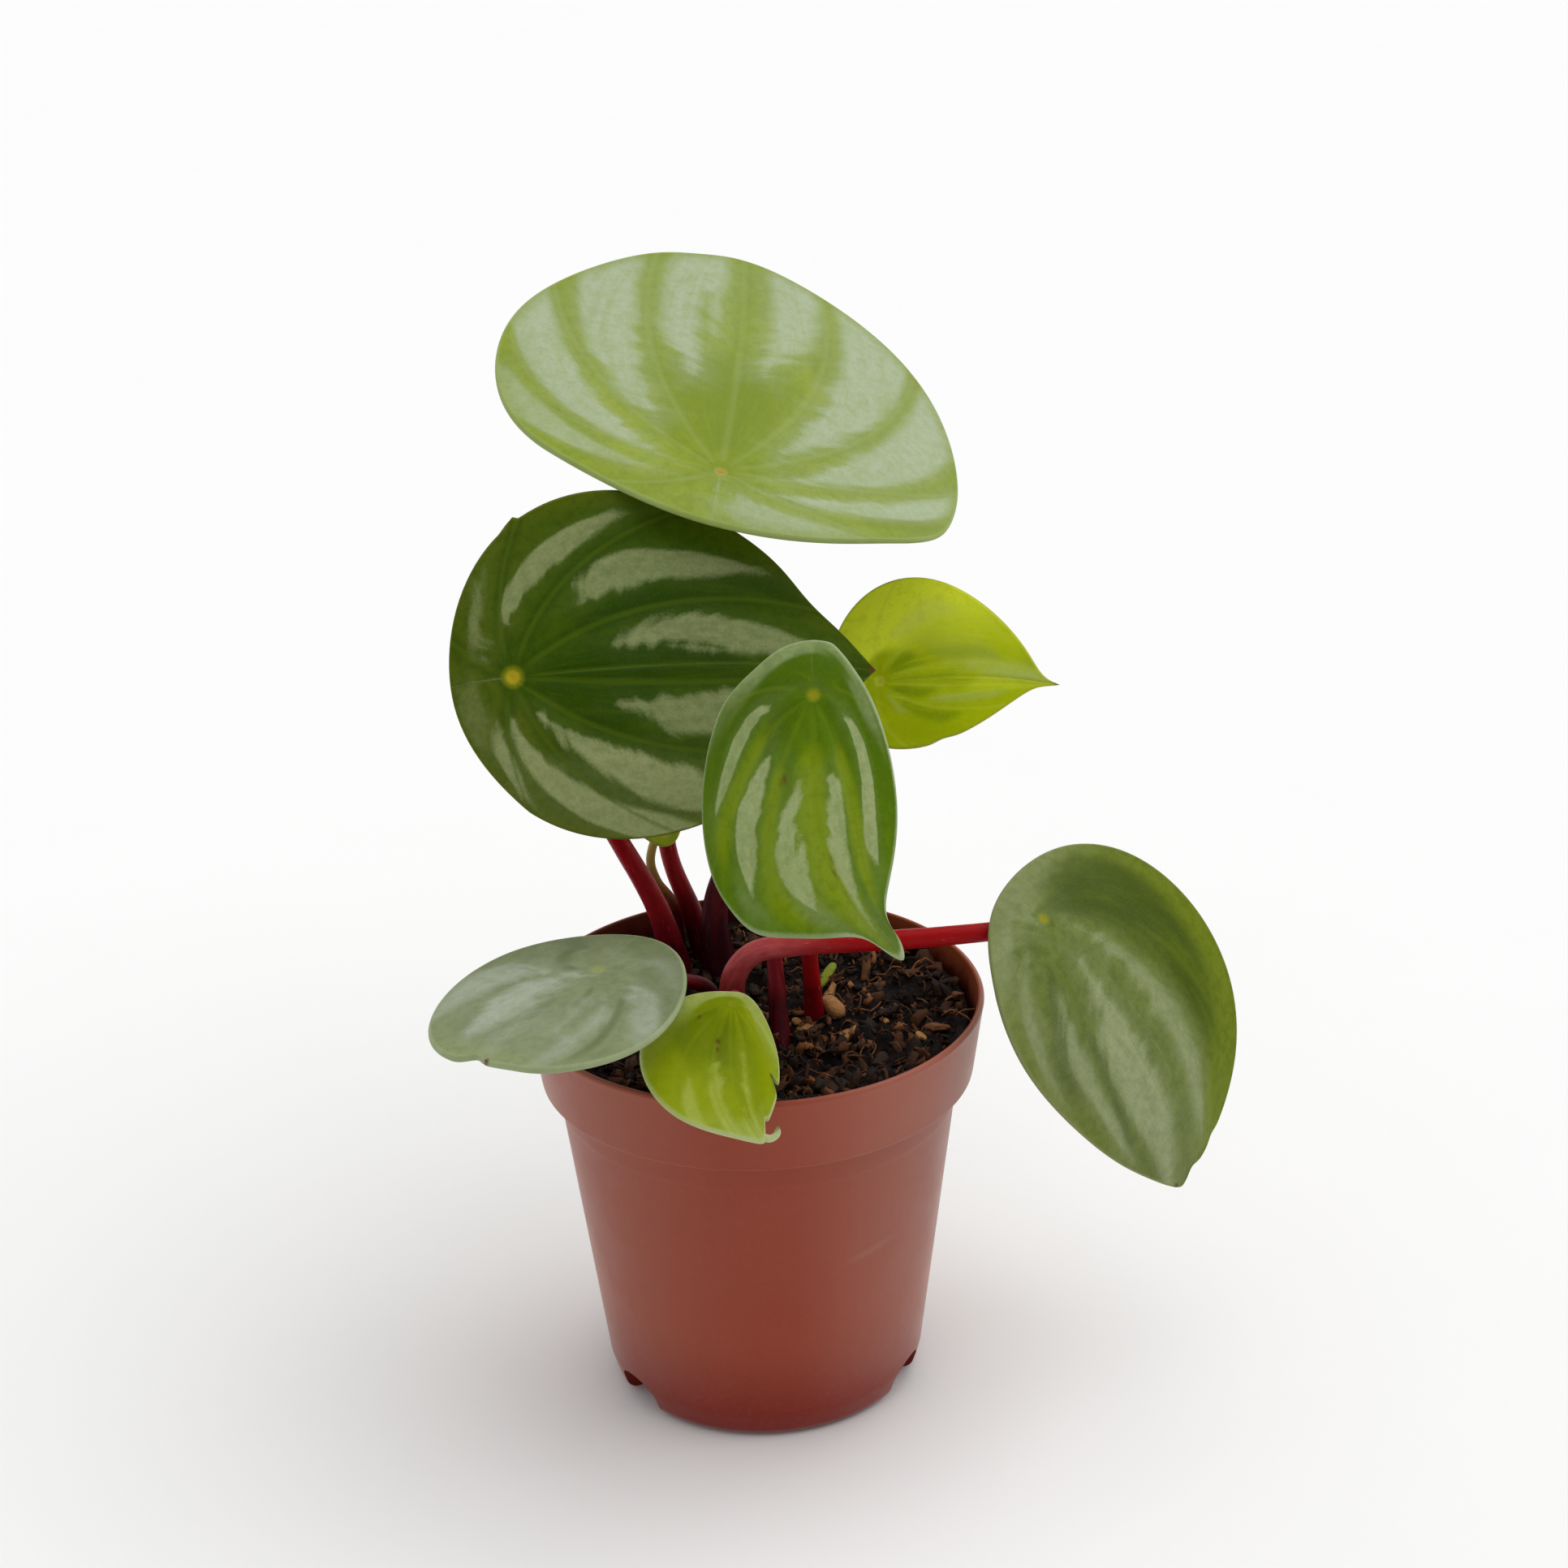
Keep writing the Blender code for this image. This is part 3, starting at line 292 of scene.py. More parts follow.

# Petioles, much as in the CAD source.  radius: at the foot and at the blade; tone: 0 dark
# maroon to 1 bright crimson, of which the foot has a third as painted shade (so 2 brightens
# the foot too); swell, taper: how much the foot is swollen, and over what height; bloom:
# pinkness of the bend; lead: straight run in to the blade; via: the way up.
PLAIN_PETIOLE = dict(swell=0.35, taper=2.2, bloom=0.12, lead=1.6)
STALK_SIDES = 22
STALK_STEPS = 9             # along each span of the way up
STALK_DEPTH = 3.0           # how deep the foot is buried
PETIOLES = {
    "petiole_top": dict(
        leaf="leaf_top", foot=(-6.4, 19.6), radius=(1.15, 1.0), tone=0.78, swell=0.9, taper=7.0,
        via=((-8.6, 19.4, 59.5), (-11.3, 19.2, 69.0), (-11.2, 20.2, 90.0), (-6.6, 20.4, 110.0))),
    "petiole_left": dict(
        leaf="leaf_left", foot=(-10.4, 14.6), radius=(1.4, 1.15), tone=0.78, swell=0.7, taper=7.0,
        via=((-12.7, 13.4, 62.0), (-17.2, 10.0, 73.7), (-23.5, 6.0, 88.0))),
    "petiole_young": dict(
        leaf="leaf_young", foot=(-10.2, 18.8), radius=(0.7, 0.55), tone=0.3, swell=0.8, taper=5.0,
        via=((-10.8, 17.4, 61.2), (-12.9, 16.4, 65.2), (-13.6, 16.1, 68.6))),
    "petiole_front": dict(
        leaf="leaf_front", foot=(7.8, 1.2), radius=(1.05, 0.9), tone=2.0, swell=0.4, taper=5.0,
        via=((7.6, 0.9, 56.0), (7.3, -0.2, 62.0), (7.4, -5.0, 80.0), (8.2, -12.6, 98.0))),
    "petiole_back": dict(
        leaf="leaf_back", foot=(-4.6, 14.0), radius=(1.3, 0.95), tone=0.18, swell=1.1, taper=9.0,
        via=((-5.2, 15.2, 60.0), (-4.1, 16.8, 65.0), (1.5, 21.0, 75.0), (12.5, 26.5, 85.0))),
    "petiole_right": dict(
        leaf="leaf_right", foot=(-3.3, -4.4), radius=(1.35, 1.2), tone=1.0, swell=0.5, taper=13.0,
        bloom=1.0,
        via=((-3.2, -4.6, 57.0), (-2.5, -5.4, 61.8), (0.1, -6.6, 65.3), (5.0, -7.6, 66.6),
             (18.4, -8.5, 67.4), (30.5, -8.6, 68.2))),
    "petiole_low_left": dict(
        leaf="leaf_low_left", foot=(-4.6, 1.6), radius=(1.0, 0.85), tone=0.4, swell=0.5, taper=4.0,
        via=((-6.2, 0.8, 56.4), (-9.5, -1.6, 59.0), (-15.6, -11.4, 62.6))),
    "petiole_low_front": dict(
        leaf="leaf_low_front", foot=(-2.4, -9.6), radius=(0.95, 0.85), tone=0.5, lead=0.7,
        via=((-2.4, -10.6, 57.0), (-2.6, -13.0, 61.9), (-2.7, -15.6, 63.4), (-2.9, -18.4, 63.1))),
    "petiole_bare": dict(
        leaf=None, foot=(3.1, -5.6), radius=(1.15, 0.9), tone=0.6, swell=0.4, taper=6.0,
        via=((2.9, -2.0, 56.2), (2.7, 1.0, 60.2), (2.8, 3.2, 68.0), (3.2, 3.8, 74.0))),
}

# pot: the CAD source's sizes, with the collar up to 0.45 mm wider, as in the photo
POT_HEIGHT = 56.0
RIM_RADIUS = 30.3
COLLAR_LOW_RADIUS = 28.8
COLLAR_FOOT = 45.6          # height at which the collar steps in to the body
BODY_TOP_RADIUS = 26.85
FOOT_RADIUS = 21.5
FOOT_HEIGHT = 3.7
BASE_RADIUS = 19.4
WALL = 0.95
FLOOR = 1.3
POT_SIDES = 256
CORNER = 0.75               # how far a rounded corner of the section runs each way
SHARP_FROM = 38.0           # edges bent more than these degrees are drawn sharp
LINING_FROM = 8.0           # inward faces above this height have the lining, painted dark as shade inside the pot
ARCH_AZIMUTHS = (-56.0, 64.0, 184.0)
ARCH_WIDTH = 7.8
ARCH_HEIGHT = 4.8
ARCH_INNER_RADIUS = 15.6

# soil: the CAD source's level and lumps, out to the wall and banked up against it
SOIL_LEVEL = 51.4
SOIL_RELIEF = 0.9
CROWN_MOUND = 1.3
CROWN_AT = (-6.5, 15.0)
SOIL_RADIUS = 28.1
SOIL_BANK = 1.5
SOIL_SIDES = 340
SOIL_RINGS = 58
SOIL_BODY = ((25.5, 45.0), (24.9, 40.0), (20.5, 6.6), (14.2, 6.4), (14.0, 1.8))   # radius, height
LITTER_SEED = 21
CHIPS = 1600
CHIP_REACH = 27.2           # chips lie within this radius
FIBRES = 240
FIBRE_REACH = 25.0
FIBRE_SIDES = 5
FIBRE_STEPS = 9

# stage, and a camera that stands where the photograph was taken
PAPER_RADIUS = 12000.0
PAPER_SIDES = 64
LIGHT_HEADING = (-0.40, -0.05, -1.0)
LIGHT_SPREAD = 70.0         # degrees
LIGHT_ENERGY = 1.45
CAMERA_AT = (0.0, -0.400, 0.2611)   # metres
CAMERA_PITCH = 23.63        # degrees
CAMERA_YAW = 0.65
CAMERA_ROLL = 1.54
CAMERA_LENS = 77.8          # on a 36 mm sensor


# ------------------------------------------------------------------ node helpers

class Graph:
    """Node tree of a material or the world.  A material's colour is painted on in layers."""

    def __init__(self, owner, colour=None):
        owner.use_nodes = True
        self.owner = owner
        self.tree = owner.node_tree
        self.colour = colour

    def put(self, socket, value):
        if isinstance(value, bpy.types.NodeSocket):
            self.tree.links.new(value, socket)
        elif isinstance(value, tuple) and len(value) == 3 and socket.type == "RGBA":
            socket.default_value = (*value, 1.0)
        else:
            socket.default_value = value

    def node(self, kind, output, inputs, **settings):
        """One output of a new node with these inputs and settings."""
        node = self.tree.nodes.new("ShaderNode" + kind)
        for name, value in settings.items():
            setattr(node, name, value)
        for name, value in inputs.items():
            self.put(node.inputs[name], value)
        return node.outputs[output]

    def attribute(self, name, output="Fac"):
        return self.node("Attribute", output, {}, attribute_name=name)

    def coordinates(self, kind="Object"):
        return self.node("TexCoord", kind, {})

    def axes(self, vector):
        return [self.node("SeparateXYZ", axis, {"Vector": vector}) for axis in "XYZ"]

    def maths(self, operation, *values):
        return self.node("Math", 0, dict(enumerate(values)), operation=operation)

    def product(self, first, *others):
        for value in others:
            first = self.maths("MULTIPLY", first, value)
        return first

    def jitter(self, value, texture, amount):
        """The value, moved up and down by the texture: by half the amount each way."""
        return self.maths("MULTIPLY_ADD", self.maths("SUBTRACT", texture, 0.5), amount, value)

    def step(self, value, low, high, out_low=0.0, out_high=1.0):
        """Smooth step from out_low at low to out_high at high."""
        inputs = {"Value": value, "From Min": low, "From Max": high, "To Min": out_low, "To Max": out_high}
        return self.node("MapRange", "Result", inputs, interpolation_type="SMOOTHSTEP")

    def noise(self, vector, scale, detail=2.0, roughness=0.5):
        inputs = {"Vector": vector, "Scale": scale, "Detail": detail, "Roughness": roughness}
        return self.node("TexNoise", "Fac", inputs)

    def cells(self, vector, scale):
        return self.node("TexVoronoi", "Distance", {"Vector": vector, "Scale": scale})

    def bump(self, height, distance, strength, under=None):
        inputs = {"Height": height, "Distance": distance, "Strength": strength}
        if under is not None:
            inputs["Normal"] = under
        return self.node("Bump", "Normal", inputs)

    def paint(self, share, colour):
        """Lays a colour over the one so far."""
        self.colour = self.node("Mix", 2, {"Factor": share, 6: self.colour, 7: colour}, data_type="RGBA")

    def surface(self, rough, normal, gloss, **values):
        """Connects the shader and returns the finished material."""
        shader = self.tree.nodes["Principled BSDF"]
        values.update(Base_Color=self.colour, Roughness=rough, Normal=normal, Specular_IOR_Level=gloss)
        for name, value in values.items():
            self.put(shader.inputs[name.replace("_", " ")], value)
        return self.owner


def new_skin(name, preview, colour=None):
    material = bpy.data.materials.new(name)
    material.diffuse_color = (*preview, 1.0)
    return Graph(material, colour or preview)


def blend(a, b, share):
    return tuple(x + (y - x) * share for x, y in zip(a, b))


# --------------------------------------------------------------------- materials

def flesh(weight, scale=0.0006, radius=(0.6, 1.0, 0.25)):
    """Light that soaks into juicy tissue."""
    return dict(Subsurface_Weight=weight, Subsurface_Scale=scale, Subsurface_Radius=radius)


def upper_skin(name, look):
    """Upper face: greens, silver bands with nicked edges, fine veins, rim and spot."""
    g = new_skin(name, look["green"])
    flat = g.attribute("flat", "Vector")
    grain = g.attribute("grain", "Vector")
    vein = g.attribute("vein")
    edge = g.attribute("edge")
    centre = g.attribute("centre")
    broad = g.noise(flat, 0.12)
    mottle = g.noise(flat, 0.75, 4.0, 0.65)
    fine = g.noise(flat, 2.8, 3.0, 0.6)
    streaks = g.noise(grain, 1.0, 4.0, 0.6)
    nicks = g.noise(g.attribute("nicks", "Vector"), 0.8, 2.0, 0.45)

    # greens
    g.paint(g.step(broad, 0.35, 0.65), blend(look["green"], look["deep_green"], 0.3))
    g.paint(g.product(g.attribute("warm"), g.step(mottle, 0.3, 0.6, 0.65, 1.0)), look["warm_green"])
    deep = g.maths("MAXIMUM", g.attribute("deep"), g.step(vein, 0.5, 2.2, look["vein_shade"], 0.0))
    g.paint(g.product(deep, g.step(streaks, 0.25, 0.75, 1.0, 0.7)), look["deep_green"])
    g.paint(g.step(mottle, 0.40, 0.66, 0.0, look["mottle"]), look["deep_green"])
    g.paint(g.step(streaks, 0.52, 0.75, 0.0, 0.22), look["warm_green"])
    g.paint(g.step(fine, 0.50, 0.75, 0.0, 0.25), blend(look["green"], look["vein"], 0.6))

    # silver bands, most ragged near the petiole, and the haze
    ragged = look["ragged"]
    wander = g.step(g.attribute("share"), 0.5, 0.85, 4.5 * ragged, 1.6 * ragged)
    depth = g.jitter(g.attribute("silver"), nicks, wander)
    depth = g.jitter(g.jitter(depth, mottle, 1.6 * ragged), fine, ragged)
    bloom = g.step(depth, -4.0 - look["soft"], look["soft"], 0.0, look["haze"])
    silver = g.maths("MAXIMUM", g.step(depth, -look["soft"], look["soft"]), bloom)
    silver = g.product(silver, g.attribute("strength"), g.step(mottle, 0.38, 0.64, 1.0, 0.78),
                       g.step(fine, 0.35, 0.65, 0.86, 1.0), g.step(streaks, 0.42, 0.70, 1.0, 0.80),
                       g.step(edge, 0.1, look["fade"], 0.5, 1.0))
    g.paint(silver, look["silver"])
    haze = g.product(g.attribute("pale"), g.step(mottle, 0.35, 0.62, 1.0, 0.7))
    g.paint(haze, blend(look["silver"], look["rim"], 0.4))

    # veins, rim, the spot over the petiole and dry scars
    line = g.step(g.jitter(vein, fine, 0.5), 0.1, look["vein_width"], look["vein_power"], 0.0)
    g.paint(g.product(line, g.step(centre, 0.8, 4.0)), look["vein"])
    rim = g.step(g.jitter(edge, fine, 0.4), 0.4 * look["rim_width"], 1.5 * look["rim_width"], 1.0, 0.0)
    g.paint(g.product(rim, g.step(broad, 0.35, 0.6, 0.55, 0.95)), look["rim"])
    size = look["spot_size"]
    g.paint(g.step(centre, 1.1 * size, 1.9 * size, 0.75, 0.0), blend(look["spot"], look["vein"], 0.6))
    g.paint(g.step(centre, 0.6 * size, 1.25 * size, 1.0, 0.0), look["spot"])
    g.paint(g.step(centre, 0.15 * size, 0.5 * size, 0.6, 0.0), blend(look["spot"], (0.45, 0.18, 0.02), 0.4))
    g.paint(g.attribute("scar"), (0.11, 0.05, 0.015))

    grainy = g.bump(g.noise(flat, 3.2, 2.0, 0.6), 0.00005, 0.5)
    wavy = g.bump(g.noise(grain, 1.4, 3.0), 0.00014, 0.3, grainy)
    return g.surface(g.step(fine, 0.3, 0.7, 0.40, 0.52), wavy, look["gloss"], **flesh(0.06))


def under_skin(name, look):
    """Underside: pale matt green with the veins standing out, tinged with pink."""
    pale = blend(look["green"], (0.36, 0.44, 0.24), 0.62)
    g = new_skin(name, pale)
    flat = g.attribute("flat", "Vector")
    g.paint(g.step(g.noise(flat, 0.15, 3.0), 0.3, 0.7), blend(pale, look["green"], 0.4))
    g.paint(g.step(g.attribute("silver"), -1.0, 1.0, 0.0, 0.3), blend(pale, (0.55, 0.6, 0.45), 0.5))
    g.paint(g.step(g.attribute("vein"), 0.15, 0.8, 0.7, 0.0), blend(pale, (0.45, 0.28, 0.20), 0.5))
    g.paint(g.step(g.attribute("edge"), 0.2, 0.7, 0.8, 0.0), look["rim"])
    g.paint(g.step(g.attribute("centre"), 1.2, 4.5, 0.8, 0.0), (0.36, 0.10, 0.07))
    return g.surface(0.55, g.bump(g.noise(flat, 2.6, 3.0, 0.6), 0.00008, 0.6), 0.35, **flesh(0.08))


def curl_skin(look):
    """The hooked tip: from the blade's green through its pale rim to a dry brown end."""
    g = new_skin("curl_skin", look["rim"], look["warm_green"])
    fine = g.noise(g.coordinates(), 2500.0, 3.0)
    tip = g.jitter(g.attribute("share"), fine, 0.3)
    g.paint(g.step(tip, 0.0, 0.5), look["rim"])
    g.paint(g.step(tip, 0.75, 1.0), (0.20, 0.10, 0.03))
    return g.surface(g.step(fine, 0.3, 0.7, 0.45, 0.6), g.bump(fine, 0.0001, 0.5), 0.2)


def petiole_skin():
    """Juicy red stalk: maroon to crimson by tone, pale flecks, greener at the blade."""
    g = new_skin("petiole_skin", (0.32, 0.02, 0.03), (0.022, 0.001, 0.004))
    place = g.attribute("stalk", "Vector")
    fleck = g.noise(place, 1.0, 3.0, 0.6)
    fine = g.noise(place, 4.5)
    tone = g.jitter(g.attribute("tone"), fleck, 0.5)
    g.paint(g.step(tone, 0.0, 0.55), (0.170, 0.002, 0.007))
    g.paint(g.step(tone, 0.5, 1.05), (0.340, 0.004, 0.006))
    g.paint(g.product(g.attribute("bloom"), g.step(fleck, 0.35, 0.65, 0.6, 1.0)), (0.520, 0.095, 0.100))
    spots = g.step(g.cells(place, 1.3), 0.10, 0.24, 1.0, 0.0)
    spots = g.product(spots, g.step(fleck, 0.45, 0.6), g.step(tone, 0.2, 1.0, 0.15, 0.6))
    g.paint(spots, (0.45, 0.12, 0.10))
    g.paint(g.attribute("neck"), (0.40, 0.30, 0.08))
    return g.surface(g.step(fine, 0.3, 0.7, 0.28, 0.40), g.bump(fine, 0.0001, 0.5), 0.08,
                     **flesh(0.12, 0.001, (1.0, 0.3, 0.25)))


def peat_skin():
    """Moist peat: near black, with browner crumbs."""
    g = new_skin("peat_skin", (0.035, 0.022, 0.015), (0.007, 0.003, 0.002))
    place = g.coordinates()
    clod = g.noise(place, 420.0, 4.0, 0.65)
    g.paint(g.step(clod, 0.40, 0.62), (0.034, 0.013, 0.008))
    g.paint(g.step(g.noise(place, 700.0, 4.0, 0.65), 0.54, 0.68, 0.0, 0.8), (0.095, 0.036, 0.016))
    g.paint(g.step(g.cells(place, 1100.0), 0.15, 0.6, 0.4, 1.0), (0.006, 0.004, 0.004))
    bump = g.bump(g.noise(place, 1500.0, 4.0, 0.7), 0.0005, 0.8)
    return g.surface(g.step(clod, 0.3, 0.7, 0.70, 0.95), bump, 0.15)


def bark_skin():
    """Bark chips and fibres: each has its own tone, from black through brown to tan."""
    g = new_skin("bark_skin", (0.09, 0.045, 0.02), (0.011, 0.005, 0.003))
    place = g.coordinates()
    fine = g.noise(place, 1300.0, 4.0, 0.65)
    tone = g.jitter(g.attribute("tone"), fine, 0.5)
    g.paint(g.step(tone, 0.0, 0.35), (0.100, 0.035, 0.013))
    g.paint(g.step(tone, 0.30, 0.65), (0.270, 0.100, 0.032))
    g.paint(g.step(tone, 0.65, 1.0), (0.500, 0.265, 0.090))
    g.paint(g.attribute("fresh"), (0.24, 0.29, 0.02))
    bump = g.bump(g.noise(place, 2200.0, 3.0, 0.7), 0.0003, 0.7)
    return g.surface(g.step(fine, 0.3, 0.7, 0.55, 0.9), bump, 0.2)


def pot_skin():
    """Thin terracotta-coloured plastic, faintly mottled, with one light scuff on the front.
    Painted shade darkens its foot, painted light brightens its lower body and its collar,
    and a painted sheen pales its sides."""
    g = new_skin("pot_skin", (0.23, 0.06, 0.035), (0.286, 0.046, 0.019))
    place = g.coordinates()
    x, y, z = g.axes(place)
    broad = g.noise(place, 35.0, 3.0)
    fine = g.noise(place, 1400.0, 3.0, 0.6)
    g.paint(g.step(broad, 0.35, 0.65), (0.268, 0.039, 0.015))
    # painted light: the lower body brightened, fading out by 38 mm, where less light reaches it
    g.paint(g.step(z, 0.008, 0.038, 0.26, 0.0), (0.380, 0.060, 0.020))
    # painted shade: the foot darkened over its lowest 18 mm
    g.paint(g.step(z, 0.0, 0.018, 0.92, 0.0), (0.195, 0.005, 0.001))
    # painted light: the collar, and the band just under it, brightened
    g.paint(g.step(z, 0.040, 0.056, 0.0, 0.30), (0.320, 0.068, 0.032))
    g.paint(g.step(fine, 0.45, 0.75, 0.0, 0.15), (0.340, 0.085, 0.042))
    # painted sheen: pinkish-white toward both sides, stronger on the right, a painted reflection of the pale
    # surroundings
    painted_sheen = g.maths("ADD", g.step(x, 0.002, 0.019, 0.0, 0.17), g.step(x, -0.019, -0.002, 0.10, 0.0))
    painted_sheen = g.product(painted_sheen, g.step(broad, 0.2, 0.6, 0.85, 1.0), g.step(z, 0.001, 0.010))
    g.paint(painted_sheen, (0.45, 0.31, 0.25))
    along = g.maths("MULTIPLY_ADD", x, 0.97, g.product(z, 0.24))
    across = g.maths("SUBTRACT", g.maths("MULTIPLY_ADD", x, -0.22, z), 0.0253)
    across = g.jitter(g.maths("ABSOLUTE", across), fine, 0.0009)
    scuff = g.step(across, 0.0001, 0.0009, 0.17, 0.0)
    scuff = g.product(scuff, g.step(along, 0.0165, 0.0190), g.step(along, 0.0215, 0.0250, 1.0, 0.0),
                      g.step(y, -0.010, -0.008, 1.0, 0.0))
    g.paint(scuff, (0.40, 0.22, 0.17))
    bump = g.bump(g.noise(place, 900.0, 3.0, 0.6), 0.00004, 0.5)
    bump = g.bump(g.noise(place, 60.0), 0.0004, 0.25, bump)
    return g.surface(g.step(g.noise(place, 160.0, 4.0, 0.6), 0.3, 0.7, 0.40, 0.50), bump, 0.25,
                     Sheen_Weight=0.40, Sheen_Roughness=0.35, Sheen_Tint=(1.0, 0.88, 0.80))


def lining_skin():
    """Inside of the pot: the same plastic, painted dark as shade inside the pot, with painted
    light, orange near the rim and strongest toward the right.
    """
    # painted shade: the lining's base colour is dark for the shade inside the pot
    g = new_skin("pot_lining_skin", (0.07, 0.01, 0.006), (0.040, 0.002, 0.001))
    place = g.coordinates()
    x, _, z = g.axes(place)
    lining_noise = g.noise(place, 260.0, 4.0, 0.65)
    # painted light: orange near the rim, strongest toward the right
    dry = g.step(g.jitter(z, lining_noise, 0.004), 0.0520, 0.0555)
    g.paint(g.product(dry, g.step(x, -0.010, 0.026, 0.25, 1.0)), (0.230, 0.045, 0.010))
    bump = g.bump(g.noise(place, 900.0, 3.0, 0.6), 0.00010, 0.6)
    return g.surface(g.step(lining_noise, 0.3, 0.7, 0.45, 0.7), bump, 0.15)


def floor_skin():
    g = new_skin("floor_paper", (0.9, 0.9, 0.9), (0.88, 0.88, 0.88))
    place = g.coordinates()
    g.paint(g.noise(place, 30.0, 3.0), (0.90, 0.90, 0.90))
    return g.surface(0.9, g.bump(g.noise(place, 800.0, 3.0), 0.0001, 0.2), 0.2)


# -------------------------------------------------------------------- mesh pieces

def unit(values):
    return np.clip(values, 0.0, 1.0)


def hump(distance, width):
    """Bell curve, 1 in the middle."""
    return np.exp(-(distance / width) ** 2)


def turn(z, y, x=0.0):
    """Turn about x, then y, then z, in radians."""
    return Matrix.Rotation(z, 3, "Z") @ Matrix.Rotation(y, 3, "Y") @ Matrix.Rotation(x, 3, "X")


def show(name, data):
    """New object in the scene."""
    obj = bpy.data.objects.new(name, data)
    bpy.context.scene.collection.objects.link(obj)
    return obj


def mesh_object(name, verts, faces):
    """Object from millimetre points."""
    mesh = bpy.data.meshes.new(name)
    mesh.from_pydata((np.asarray(verts, float) * MM).tolist(), [], faces)
    return show(name, mesh)


def piece(name, verts, faces, materials, slots=None, **fields):
    """Smooth piece of the plant, with one named field per keyword."""
    obj = mesh_object(name, verts, faces)
    mesh = obj.data
    for material in materials:
        mesh.materials.append(material)
    if slots is not None:
        mesh.polygons.foreach_set("material_index", slots)
    for field, values in fields.items():
        values = np.asarray(values, np.float32)
        kind, part = ("FLOAT_VECTOR", "vector") if values.ndim == 2 else ("FLOAT", "value")
        mesh.attributes.new(field, kind, "POINT").data.foreach_set(part, values.ravel())
    mesh.shade_smooth()
    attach(obj, "root")
    return obj


def ring(radius, z, sides, shift=0.0):
    """Points of a level ring, counted from the front."""
    turns = [2.0 * math.pi * (i + shift) / sides for i in range(sides)]
    return [(radius * math.sin(a), -radius * math.cos(a), z) for a in turns]


def ring_faces(first, rings, sides):
    """Faces that join rings of points, one after the other from the index first on."""
    faces = []
    for low in range(first, first + (rings - 1) * sides, sides):
        for i in range(sides):
            j = (i + 1) % sides
            faces.append((low + i, low + j, low + sides + j, low + sides + i))
    return faces


def spline(points, steps):
    """Centripetal Catmull-Rom curve through the points, evenly stepped per span."""
    points = [Vector(p) for p in points]
    ends = [points[0] * 2.0 - points[1]] + points + [points[-1] * 2.0 - points[-2]]
    curve = []
    for p0, p1, p2, p3 in zip(ends, ends[1:], ends[2:], ends[3:]):
        t1 = max((p1 - p0).length, 1e-6) ** 0.5
        t2 = t1 + max((p2 - p1).length, 1e-6) ** 0.5
        t3 = t2 + max((p3 - p2).length, 1e-6) ** 0.5
        for s in range(steps):
            t = t1 + (t2 - t1) * s / steps
            a1 = p0.lerp(p1, t / t1)
            a2 = p1.lerp(p2, (t - t1) / (t2 - t1))
            a3 = p2.lerp(p3, (t - t2) / (t3 - t2))
            b1 = a1.lerp(a2, t / t2)
            b2 = a2.lerp(a3, (t - t1) / (t3 - t1))
            curve.append(b1.lerp(b2, (t - t1) / (t2 - t1)))
    curve.append(points[-1])
    return curve


def tube(path, radii, sides):
    """Points and faces of a closed round tube along the path."""
    verts = []
    side = Vector((1.0, 0.0, 0.0))
    for k, here in enumerate(path):
        direction = (path[min(k + 1, len(path) - 1)] - path[max(k - 1, 0)]).normalized()
        side = (side - direction * side.dot(direction)).normalized()
        other = direction.cross(side)
        for i in range(sides):
            a = 2.0 * math.pi * i / sides
            verts.append(here + (side * math.cos(a) + other * math.sin(a)) * radii[k])
    start = tuple(reversed(range(sides)))
    end = tuple(range(len(verts) - sides, len(verts)))
    return verts, [start] + ring_faces(0, len(path), sides) + [end]


# -------------------------------------------------------------------------- blades

def flat_point(leaf, rho, tau):
    """Flat point of the blade: rho runs from the petiole (0) to the margin (1),
    tau from the tip (0) round to the base (pi), positive to the left."""
    grid = (np.arange(200) + 0.5) * math.pi / 200.0

    def half_width(t, shift):
        return np.abs(np.sin(t)) * np.abs(np.sin(t / 2.0)) ** leaf["point"] * (1.0 - shift * np.cos(t))

    away = np.maximum(np.abs(tau), 1e-4)
    left, right = (half_width(away, shift) / half_width(grid, shift).max() * half
                   for shift, half in zip(leaf["shift"], leaf["half"]))
    across = np.where(tau >= 0.0, left, -right)
    along = -leaf["baseward"] + (leaf["tipward"] + leaf["baseward"]) * (1.0 + np.cos(tau)) / 2.0
    draw_in = np.ones_like(along)
    for where, depth, width in leaf.get("dents", ()):
        draw_in = draw_in - depth * rho ** 6 * hump(tau - where, width)
    u = rho * along * draw_in + leaf["drip"] * rho ** 6 * hump(tau, 0.2)
    across = across * (1.0 - leaf.get("pinch", 0.0) * rho ** 6 * hump(tau, 0.3))
    v = rho * across * draw_in + leaf["swing"] * rho ** 4 * hump(tau, 0.5)
    return u, v


